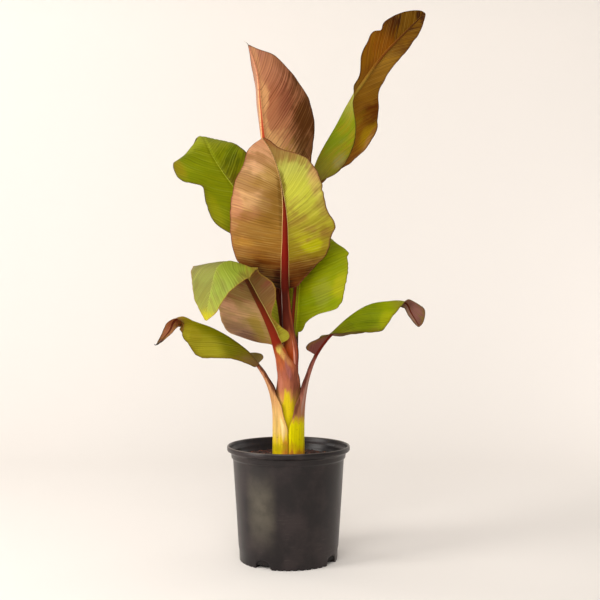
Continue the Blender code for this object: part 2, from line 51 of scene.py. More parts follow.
# pot, as in the part's source
WALL_TOP_RADIUS = 117.5
WALL_FOOT_RADIUS = 104.0
WALL = 2.2
WALL_TAPER = (3.0, 212.0)  # heights between which the wall widens
FLOOR = 6.5
FLOOR_RECESS = 3.0
PAD_RADIUS = 30.0          # middle pad under the floor
FOOT_RING_RADII = (89.0, 92.0, 95.0)
NOTCHES = 44
NOTCH_WIDTH = 6.0
NOTCH_HEIGHT = 2.6
DRAIN_WIDTH = 34.0
DRAIN_HEIGHT = 18.0
DRAIN_AZIMUTHS = (-120, -30, 60, 150)
DRAIN_DEPTH_RADIUS = 85.0  # distance from the axis at which a drain cuts the floor straight
POT_SIDES = 720
WALL_SWELL = 0.48          # how far the pressed wall is out of round
SWELL_MIDDLE = 110.0
SWELL_REACH = 100.0

# rings of the wall: (inset, lift) of its rounded lower edge over the chipped line, heights of its
# outside and its inside, and (radius, height) of the stepped band and the rolled rim between them
WALL_LIP = [(WALL - 0.2, 0.2), (1.9, 0.0), (0.9, 0.3)]
WALL_FOOT = [(WALL_FOOT_RADIUS - 0.4, 6.0), (WALL_FOOT_RADIUS, 20.0)]
OUTSIDE_HEIGHTS = np.linspace(30, 205, 36)
INSIDE_HEIGHTS = (211.0, *np.linspace(200, 14, 22))
BAND_AND_RIM = [
    (117.4, 210), (117.7, 212), (118.6, 213.4), (120.1, 214.6), (120.8, 216), (121.0, 219), (121.4, 223),
    (121.9, 224.6), (124.0, 226.4), (127.2, 228.4), (129.0, 229.6), (129.8, 231), (130.0, 233), (130.0, 236),
    (129.8, 238.0), (129.0, 239.4), (127.6, 240), (126.4, 239.5), (125.3, 238.0), (124.6, 234),
    (123.8, 230.8), (121.6, 228.0), (119.8, 226), (119.2, 224), (118.6, 219), (117.6, 216.8), (116.0, 214.5)]

# soil
SOIL_TOP = 214.0
SOIL_GAP = 0.3
SOIL_SIDES = 360
SOIL_RINGS = 48
SOIL_FALL = 2.0            # how much lower the soil lies at the wall
STEM_FOOT = 181.0
STEM_HOLE_RADIUS = 34.4
CHIPS = 900
CHIP_HALF_SIZE = (4.2, 2.4, 1.0)
CHIP_REACH = 110.0         # distance from the axis up to which chips lie

# leaves
BLADE = 0.8
HALF_COLUMNS = 30          # columns from the back line to each margin
CHANNEL_SHARE = 0.3        # share of them that covers the rib beside a full blade
STALK_ROWS = 70
BLADE_ROWS = 280
ROW_CROWDING = 0.35        # how much closer the rows lie at the blade's ends, from 0 to 1
LINE_STEPS = 3000
VEIN_STEPS = 24
RIB_TURN = 2.5             # reach over which a sheet's upper side turns from the rib to the blade
PLEAT_HEIGHT = 0.3
PLEAT_RUN = 260.0          # run that counts as 1 for the unevenness of the pleats
MARGIN_JITTER = 0.9        # uneven growth of the margin

# withered tips: a pale thread and a black hook, each with the colours at its lower and its upper height
THREAD_RINGS = 24
THREADS = {
    "withered_thread": dict(
        node="leaf_middle", radii=(1.0, 0.7, 0.45, 0.3), heights=(1076, 1082),
        colours=[(0, (104, 92, 80)), (1, (222, 210, 194))],
        path=[(-81.6, -49.8, 1073), (-84.5, -50.5, 1078), (-88, -51, 1080.5), (-91.5, -51, 1083)]),
    "withered_hook": dict(
        node="leaf_low_left", radii=(1.6, 1.4, 1.1, 0.9, 0.4), heights=(459, 464),
        colours=[(0, (20, 14, 11)), (1, (96, 54, 40))],
        path=[(-262, -47.4, 464.5), (-267, -47.7, 459), (-272.5, -48, 454.5), (-276, -48.2, 454),
              (-277.5, -48.2, 456)]),
}

# surfaces; a relief is its strength and its depth in metres
LEAF_SHINE = 0.05          # strength of the reflection of a leaf
LEAF_GLOW = 0.16           # share of the light that a blade lets through
LEAF_GLOW_TINT = (1.2, 1.15, 0.5, 1.0)
LEAF_FLECK = (0.09, 0.03, 0.015, 1.0)   # a scene colour
LEAF_RELIEF = (0.4, 0.0008)
THREAD_ROUGHNESS = 0.7
PLASTIC_SHINE = 0.36
PLASTIC_RELIEF = (0.25, 0.0004)
PLASTIC_DARK = (17, 9, 11)
PLASTIC_LIGHT = (40, 30, 30)
SCRATCH_TONE = (84, 76, 70)
SPECK_TONE = (84, 76, 68)
# painted highlight: the next tone lightens a patch on the side where the key light's reflection falls, the
# one after it a band along the rim's top
PAINTED_HIGHLIGHT_TONE = (80, 74, 62)
RIM_HIGHLIGHT_TONE = (104, 94, 84)
HIGHLIGHT_SIDE = (-0.5, -0.866, 0.0)
SOIL_TONES = [(0.3, (22, 14, 12)), (0.5, (48, 28, 22)), (0.62, (84, 44, 32)), (0.75, (116, 70, 50))]
# painted shade: colour of the soil low in the pot, seen through the drains
PAINTED_SHADE_SOIL = (10, 8, 7)
SOIL_ROUGHNESS = 0.95
SOIL_RELIEF = (0.8, 0.003)
BARK_TONES = [(0, (26, 16, 14)), (0.5, (62, 34, 26)), (0.85, (112, 58, 40)), (1, (140, 88, 60))]
BARK_ROUGHNESS = 0.85
PAPER = (246, 240, 234)
PAPER_ROUGHNESS = 0.9
PAPER_SHINE = 0.1

# stage, in metres
STAGE_FRONT = -4.0
STAGE_TURN = 1.2           # where the floor starts to sweep up
STAGE_SWEEP = 2.0
SWEEP_STEPS = 40
STAGE_TOP = 4.5
STAGE_HALF_WIDTH = 5.0

# lights, in metres and watts: name, place, point it faces, size, power, colour
LIGHTS = [
    ("key", (-2.3, -1.15, 1.2), (0, 0, 0.6), (1.05, 2.3), 50, (1.0, 0.98, 0.94)),
    ("front", (-0.5, -3.4, 2.5), (0, 0, 0.6), (3.4, 2.2), 96, (1.0, 0.98, 0.95)),
    ("paper_left", (-2.4, 1.3, 2.4), (-0.9, 3.1, 0.9), (1.2, 1.2), 17, (1.0, 0.97, 0.94)),
    ("paper_right", (2.2, 1.2, 1.2), (0.7, 2.9, 0.5), (1.2, 1.2), 10, (1.0, 0.96, 0.94))]
WORLD_COLOUR = (1.0, 0.975, 0.945, 1.0)
WORLD_STRENGTH = 0.45

# camera: level, at the photograph's place, in millimetres
CAMERA_PLACE = (24.4, -2062.0, 547.0)
LENS_PIXELS = 972.0        # pixels for one unit of distance, in a picture 600 pixels wide
PICTURE_PIXELS = 600.0
SENSOR = 36.0

# One entry a leaf, as in the part's source: azimuth of its back, azimuth of the plane its back line
# bends in, sheath radius and wall, (height, half angle) of the sheath, the line along its back
# (x, y, z, turn, radius, half angle, wall), then along the blade its widths, folds and waves on the
# minus and the plus side.
LEAVES = {
    "leaf_low_left": dict(
        azimuth=180, plane=180, ring=34, wall=6, blade_from=3, ends=(0.08, 0.2),
        sheath=[(181, 89.2), (230, 89.2), (272, 89)],
        line=[(-35, 0, 315, 0, 32, 74, 6), (-41, -1, 350, 0, 24, 66, 6.5),
              (-53, -3, 382, 0, 15, 68, 7.5), (-69, -6, 408, 0, 10, 75, 7.5),
              (-88, -9, 432, 0, 7.5, 82, 6.5), (-120, -14, 459, 0, 6, 86, 5.5),
              (-158, -22, 483, -4, 5, 88, 4.6), (-200, -32, 500, -8, 4, 88, 3.8),
              (-222, -38, 509, -14, 3.4, 88, 3.2), (-236, -42, 502, -45, 2.6, 88, 2.4),
              (-246, -45, 484, -78, 2, 88, 1.8), (-259, -47, 468, -88, 1.5, 88, 1.4),
              (-273, -48, 454, -90, 1.2, 88, 1.1)],
        widths=[(0, 20, 22), (0.14, 30, 30), (0.3, 45, 52), (0.46, 52, 70), (0.56, 48, 66),
                (0.66, 36, 46), (0.74, 18, 22), (0.82, 9, 14), (0.9, 5, 9), (1, 2, 3)],
        folds=[(0, 50, -30, 0, 0), (0.15, -20, -60, -20, -10), (0.5, -50, -66, -30, -16),
               (0.66, -50, -50, -10, -10), (0.85, -30, -30, 0, 0), (1, -30, -30, 0, 0)],
        waves=[(3, 3, 0.2), (3, 2.5, 0)]),
    "leaf_low_right": dict(
        azimuth=0, plane=0, ring=34, wall=6, blade_from=3, ends=(0.06, 0.12),
        sheath=[(181, 89.2), (230, 89.2), (272, 89)],
        line=[(35, 0, 315, 0, 32, 74, 6), (39, 0, 352, 0, 23, 66, 6.5), (48, 0, 392, 0, 14, 70, 7.5),
              (62, 0, 428, 0, 9.5, 76, 8), (82, 2, 458, 0, 7.5, 80, 7), (108, 6, 486, 0, 6, 85, 6),
              (140, 10, 514, 0, 5, 88, 5), (175, 14, 534, 5, 4.4, 88, 4.4),
              (215, 18, 541, 10, 3.6, 88, 3.6), (241, 20, 542, 22, 2.8, 88, 2.8),
              (252, 19, 538, 60, 2.2, 88, 2.2), (262, 18, 520, 86, 1.8, 88, 1.7),
              (272, 17, 503, 90, 1.5, 88, 1.4), (280, 16, 490, 92, 1.2, 88, 1.1)],
        widths=[(0, 28, 6), (0.06, 22, 10), (0.12, 13, 20), (0.18, 12, 32), (0.24, 22, 40),
                (0.34, 46, 57), (0.42, 58, 58), (0.52, 66, 56), (0.62, 62, 46), (0.7, 42, 30),
                (0.76, 30, 14), (0.82, 31, 8), (0.9, 30, 6), (1, 22, 6)],
        folds=[(0, 75, 60, 0, 0), (0.1, 60, 30, 0, 0), (0.26, -50, -30, -10, -10),
               (0.5, -64, -64, -20, -16), (0.72, -45, -50, -10, -10), (1, -20, -20, 0, 0)],
        waves=[(3, 3, 0.2), (3, 2.5, 0)]),
    "leaf_front_left": dict(
        azimuth=-105, plane=-122, ring=27.2, wall=5.4, blade_from=2, ends=(0.06, 0.1),
        sheath=[(181, 89), (300, 89), (345, 88.4)],
        line=[(-12.2, -28, 396, 0, 26, 74, 5.4), (-21.5, -33, 432, 0, 17, 70, 6.2),
              (-28.2, -37.6, 453, 0, 13.2, 72, 6.6), (-32.8, -41, 468, 0, 11, 74, 7),
              (-52, -54, 516, -4, 7.5, 80, 7), (-69.9, -70, 553, -6, 6, 85, 5.6),
              (-86.1, -92, 586, -6, 5.2, 88, 4.8), (-99.7, -116, 607, -8, 4.6, 88, 4.2),
              (-115.8, -142, 620, -8, 4, 88, 3.6), (-133.6, -166, 611, -8, 3.4, 88, 3),
              (-143.9, -182, 578, -8, 2.8, 88, 2.5), (-151, -188, 541, -8, 2, 88, 1.8),
              (-155.7, -190, 507, -8, 1.2, 88, 1.1)],
        widths=[(0, 92, 26), (0.04, 118, 23), (0.08, 128, 14), (0.12, 122, 8), (0.16, 114, 6),
                (0.2, 111, 14), (0.23, 106, 25), (0.29, 100, 38), (0.35, 99, 41), (0.41, 100, 33),
                (0.47, 102, 30), (0.52, 102, 42), (0.58, 94, 58), (0.66, 82, 66), (0.73, 71, 66),
                (0.77, 69, 56), (0.81, 64, 45), (0.85, 58, 37), (0.89, 49, 30), (0.92, 35, 26),
                (0.96, 23, 22), (1, 8, 8)],
        folds=[(0, 20, 50, 0, 0), (0.19, 5, 30, 0, 0), (0.38, 10, 20, -5, 0), (0.47, 8, 4, -4, -5),
               (0.57, 6, -20, -6, -12), (0.67, 4, -28, -10, -14), (0.76, -2, -24, -12, -12),
               (0.86, -6, -14, -10, -10), (1, -10, -10, 0, 0)],
        waves=[(3, 2, 0.2), (3, 2.5, 0)]),
    "leaf_back_right": dict(
        azimuth=75, plane=80, ring=27.2, wall=5.4, blade_from=3, ends=(0.06, 0.12),
        sheath=[(181, 89.2), (300, 89.2), (345, 86)],
        line=[(6, 27.2, 375, 0, 23, 68, 5.4), (7, 28.5, 400, 0, 16, 70, 6),
              (11, 31, 440, 0, 11, 74, 6.5), (14.7, 34, 478, 0, 8, 80, 6.5),
              (18.6, 36, 525, 0, 6.5, 86, 6), (23.3, 40, 582, 0, 5.6, 88, 5.2),
              (30.9, 46, 629, 0, 5, 88, 4.6), (39.7, 58, 663, 0, 4, 88, 3.8),
              (48.6, 76, 681, 0, 3, 88, 3), (55.5, 98, 687, 0, 2, 88, 2),
              (60.3, 116, 672, 0, 1.2, 88, 1.1)],
        widths=[(0, 14, 12), (0.04, 14, 28), (0.08, 18, 42), (0.12, 29, 52), (0.16, 48, 60),
                (0.2, 80, 68), (0.24, 90, 78), (0.32, 96, 96), (0.42, 98, 110), (0.5, 98, 116),
                (0.6, 95, 108), (0.68, 90, 98), (0.73, 90, 92), (0.77, 78, 86), (0.81, 56, 76),
                (0.88, 38, 52), (1, 16, 16)],
        folds=[(0, 20, -15, 0, 0), (0.3, 10, -15, 0, 0), (0.6, 0, -10, 0, 0), (1, -10, -10, 0, 0)],
        waves=[(3, 2, 0.2), (3, 2.5, 0)]),
    "leaf_front": dict(
        azimuth=-75, plane=-90, ring=21, wall=5, blade_from=4, ends=(0.06, 0.07),
        sheath=[(181, 89), (300, 89), (385, 88)],
        line=[(5.5, -20.5, 405, -15, 20.7, 86, 5), (4.6, -22, 438, 0, 17.2, 82, 5.2),
              (-0.1, -25, 484, 0, 12.6, 80, 6), (-4.9, -28, 537, 0, 9.6, 86, 7),
              (-6.9, -31, 570, 0, 8.4, 88, 7), (-7.1, -37, 626, 0, 7.6, 88, 6.6),
              (-6.7, -44, 682, 0, 5.8, 88, 5.2), (-8.6, -56, 743, 0, 3.6, 88, 3.4),
              (-16.5, -74, 797, 0, 2.6, 88, 2.4), (-25.3, -90, 827, 0, 2, 88, 1.9),
              (-36, -104, 850, 0, 1.6, 88, 1.5), (-50.7, -116, 871, 0, 1.2, 88, 1.1)],
        widths=[(0, 34, 34), (0.04, 38, 33), (0.08, 58, 43), (0.12, 83, 55), (0.16, 97, 66),
                (0.2, 103, 79), (0.25, 109, 87), (0.33, 114, 93), (0.4, 116, 103), (0.44, 117, 97),
                (0.48, 118, 89), (0.54, 116, 84), (0.64, 107, 80), (0.74, 93, 69), (0.8, 81, 57),
                (0.84, 72, 39), (0.88, 63, 21), (0.92, 56, 12), (0.96, 54, 9), (1, 60, 6)],
        folds=[(0, 40, 30, 0, 0), (0.2, 10, 10, 15, 10), (0.6, 5, 5, 20, 10), (1, 0, 0, 0, 0)],
        waves=[(3, 2, 0.2), (3, 2.5, 0)]),
    "leaf_back_left": dict(
        azimuth=105, plane=90, ring=21, wall=5, blade_from=4, ends=(0.08, 0.08),
        sheath=[(181, 89), (300, 89), (385, 88)],
        line=[(-5.5, 20.5, 405, -15, 20.4, 86, 5), (-10, 23, 450, -15, 13.5, 80, 5.2),
              (-13, 26, 500, -15, 9.5, 80, 6.3), (-24, 31, 560, -15, 8, 86, 6.5),
              (-48, 39, 630, -15, 7, 88, 6), (-82, 48, 700, -15, 6, 88, 5.4),
              (-111, 60, 776, -15, 5.2, 88, 4.8), (-148, 74, 830, -15, 4.5, 88, 4.2),
              (-171, 88, 867, -14, 3.8, 88, 3.6), (-187, 108, 899, -12, 3.2, 88, 3),
              (-198, 132, 914, -10, 2.6, 88, 2.5), (-208, 158, 905, -8, 2, 88, 2),
              (-215, 178, 872, -6, 1.5, 88, 1.5), (-218, 190, 842, -5, 1.2, 88, 1.1)],
        widths=[(0, 20, 14), (0.12, 28, 30), (0.16, 30, 32), (0.2, 32, 51), (0.25, 34, 67),
                (0.33, 40, 71), (0.4, 54, 69), (0.45, 62, 62), (0.48, 66, 62), (0.52, 68, 84),
                (0.56, 69, 90), (0.62, 66, 86), (0.67, 59, 73), (0.71, 52, 40), (0.76, 46, 14),
                (0.82, 38, 8), (0.9, 26, 10), (1, 8, 6)],
        folds=[(0, 30, 10, 0, 0), (0.3, 10, 0, 0, 0), (0.5, 0, 0, 0, 0), (0.62, -2, -8, 0, -10),
               (0.7, -4, -20, 0, -26), (0.8, -8, -26, 0, -30), (1, -10, -30, 0, -16)],
        waves=[(3, 2, 0.2), (3, 2.5, 0)]),
    "leaf_middle": dict(
        azimuth=200, plane=180, ring=15.2, wall=12, blade_from=3, ends=(0.1, 0.08),
        sheath=[(181, 88), (300, 88), (380, 87)],
        line=[(-8, -4, 430, -24, 8.5, 86, 7.5), (-7, -5, 480, -40, 7.5, 86, 6.8),
              (-6.5, -7, 540, -70, 7, 86, 6.4), (-10, -9, 610, -84, 7, 88, 6.4),
              (-17.8, -10, 674, -90, 6.5, 88, 6), (-38.8, -14, 789, -90, 6, 88, 5.4),
              (-51.6, -20, 883, -90, 5, 88, 4.6), (-58.3, -28, 955, -90, 4, 88, 3.8),
              (-65.1, -38, 1022, -90, 2.6, 88, 2.5), (-82.4, -50, 1075, -90, 1.2, 88, 1.1)],
        widths=[(0, 10, 30), (0.2, 44, 74), (0.32, 48, 84), (0.4, 50, 95), (0.48, 50, 107),
                (0.56, 50, 118), (0.64, 50, 123), (0.72, 50, 120), (0.78, 49, 113), (0.84, 42, 90),
                (0.88, 26, 67), (0.92, 15, 48), (0.96, 6, 27), (1, 2, 6)],
        folds=[(0, 60, 40, 0, 0), (0.3, 88, 5, 0, 30), (0.5, 88, 5, 0, 45), (0.8, 84, 5, 0, 50),
               (1, 60, 0, 0, 20)],
        waves=[(1, 2, 0.2), (3, 2.5, 0)]),
    "leaf_top_right": dict(
        azimuth=20, plane=4, ring=15.2, wall=12, blade_from=5, ends=(0.08, 0.08),
        sheath=[(181, 88), (300, 88), (380, 87)],
        line=[(9, 4, 430, 0, 8.5, 86, 7.5), (11, 9, 480, 0, 8, 84, 7), (15, 16, 540, 0, 7.5, 86, 6.6),
              (22, 26, 620, 0, 7, 88, 6.4), (34, 38, 710, 0, 6.5, 88, 6), (48, 49, 785, 0, 6, 88, 5.6),
              (61.4, 56, 839, 0, 5.4, 88, 5), (107.4, 60, 927, 0, 5, 88, 4.6),
              (138, 62, 982, 16, 4.4, 88, 4.2), (164.4, 64, 1022, 56, 4, 88, 3.8),
              (205.9, 64, 1081, 90, 3.2, 88, 3), (258, 60, 1135, 90, 2.2, 88, 2.2),
              (296.5, 54, 1172, 90, 1.2, 88, 1.1)],
        widths=[(0, 30, 26), (0.04, 36, 34), (0.08, 62, 42), (0.12, 71, 50), (0.16, 75, 62),
                (0.2, 75, 73), (0.28, 68, 84), (0.34, 57, 94), (0.4, 49, 98), (0.44, 41, 93),
                (0.48, 30, 84), (0.52, 18, 67), (0.56, 12, 47), (0.6, 19, 37), (0.65, 34, 31),
                (0.72, 43, 30), (0.77, 49, 30), (0.8, 46, 30), (0.84, 46, 27), (0.88, 42, 24),
                (0.93, 33, 19), (1, 20, 8)],
        folds=[(0, -50, -50, 0, 0), (0.3, -50, -67, 0, 0), (0.45, -30, -50, 0, 0),
               (0.6, -10, -10, 0, 0), (1, -10, -10, 0, 0)],
        waves=[(3, 2, 0.2), (3, 2.5, 0)]),
}

# Uneven growth of a margin: leaf, side, share along the blade, depth, half length of the nick.
NICKS = {
    "leaf_top_right": [(0, 0.80, 7.0, 0.016)],
    "leaf_back_left": [(1, 0.47, 3.0, 0.02)],
    "leaf_front": [(1, 0.60, 2.0, 0.012)],
}

# How the veins of each leaf leave the rib: lean towards the tip for a unit of reach at the blade's
# foot, what its tip adds to that, the power by which this grows along the blade, and further bend
# for a metre of reach squared, on the minus and the plus side. Then the spacing of the pleats.
VEINS = {
    "leaf_front": [(0.06, 2.8, 3.2, 0.4), (0.1, 2.4, 2.0, 0.6), 8.4],
    "leaf_middle": [(0.9, 0.5, 2.0, 1.5), (0.9, 0.5, 2.0, 1.5), 12.0],
    "leaf_top_right": [(2.3, -1.1, 1.0, 0.5), (2.0, -0.6, 1.0, 0.5), 18.0],
    "leaf_back_left": [(0.5, 0.8, 1.5, 4.0), (0.5, 0.8, 1.5, 4.0), 11.0],
    "leaf_back_right": [(0.2, 0.9, 2.0, 2.4), (0.2, 0.9, 2.0, 2.4), 9.0],
    "leaf_front_left": [(0.15, 1.6, 1.5, 1.5), (0.15, 1.6, 1.5, 1.5), 11.0],
    "leaf_low_left": [(2.0, 0.8, 1.0, 3.0), (2.0, 0.8, 1.0, 3.0), 26.0],
    "leaf_low_right": [(2.0, 0.8, 1.0, 3.0), (2.0, 0.8, 1.0, 3.0), 26.0],
}

# Power of the oval that rounds off a blade's foot: 2 is an ellipse, more is squarer.
FOOT_POWER = {"leaf_low_left": 5.0, "leaf_low_right": 5.0, "leaf_front_left": 2.6}

# Sockets of the leaf skin: what the veins give it, colours by bands, colours of their own, amounts.
VEIN_VALUES = ("Broad", "Light", "Fine", "Streak", "Band", "Cloud")
BAND_COLOURS = ("Under", "Upper", "Rib", "Groove", "Outside", "Inside", "Stalk Margin")
PLAIN_COLOURS = ("Groove Line", "Margin", "Edge Tint", "Beside Rib", "Bloom", "Vein Shade Tint", "Crest Highlight")
SKIN_AMOUNTS = ("Edge Width", "Edge Amount", "Vein Shade Amount", "Crest Highlight Amount", "Streak Amount", "Line Amount",
                "Groove Amount", "Margin Amount", "Bloom Amount")

# Screen colours of each leaf by share along its blade (0 its foot, 1 its tip) or along its stalk.
LEAF_GREEN = [(0, (112, 106, 22)), (0.5, (126, 134, 8)), (1, (136, 140, 18))]
COPPER = [(0, (116, 70, 34)), (0.5, (150, 104, 60)), (1, (150, 98, 62))]
DARK_RIB = [(0, (96, 26, 14)), (0.4, (120, 32, 16)), (1, (96, 48, 26))]
GREEN_GROOVE = [(0, (120, 120, 40)), (0.5, (166, 168, 72)), (1, (150, 152, 40))]
STALK_IN = [(0, (120, 90, 30)), (0.5, (80, 32, 14)), (0.8, (74, 20, 6)), (1, (100, 56, 30))]
BROWN_EDGE = [(0, (150, 120, 20)), (0.4, (110, 60, 30)), (1, (70, 30, 20))]

# A spot is (along, across, half along, half across, colour, amount): along is a share of the blade
# or stalk, across is the reach from the rib in millimetres, or on a stalk 0 its middle and 1 its side.
PLAIN_SKIN = {
    "Under Minus": COPPER, "Under Plus": COPPER, "Upper Minus": LEAF_GREEN, "Upper Plus": LEAF_GREEN,
    "Rib": DARK_RIB, "Groove": GREEN_GROOVE, "Groove Line": (96, 88, 14), "Outside": DARK_RIB,
    "Inside": STALK_IN, "Stalk Margin": BROWN_EDGE, "Under Spots": [], "Upper Spots": [], "Stalk Spots": [],
    "Margin": (66, 34, 16), "Edge Tint": (112, 88, 30), "Beside Rib": (206, 168, 92),
    "Bloom": (160, 156, 40), "Vein Shade Tint": (140, 120, 90), "Crest Highlight": (220, 214, 120), "Spacing": 0.0062,
    "Rib Taper": (0.7, 1.0, 0.4), "Edge Width": 0.012, "Edge Amount": 0.5, "Vein Shade Amount": 0.45,
    "Crest Highlight Amount": 0.3, "Streak Amount": 0.7, "Line Amount": 0.5, "Groove Amount": 0.8,
    "Margin Amount": 0.7, "Bloom Amount": 0.3}

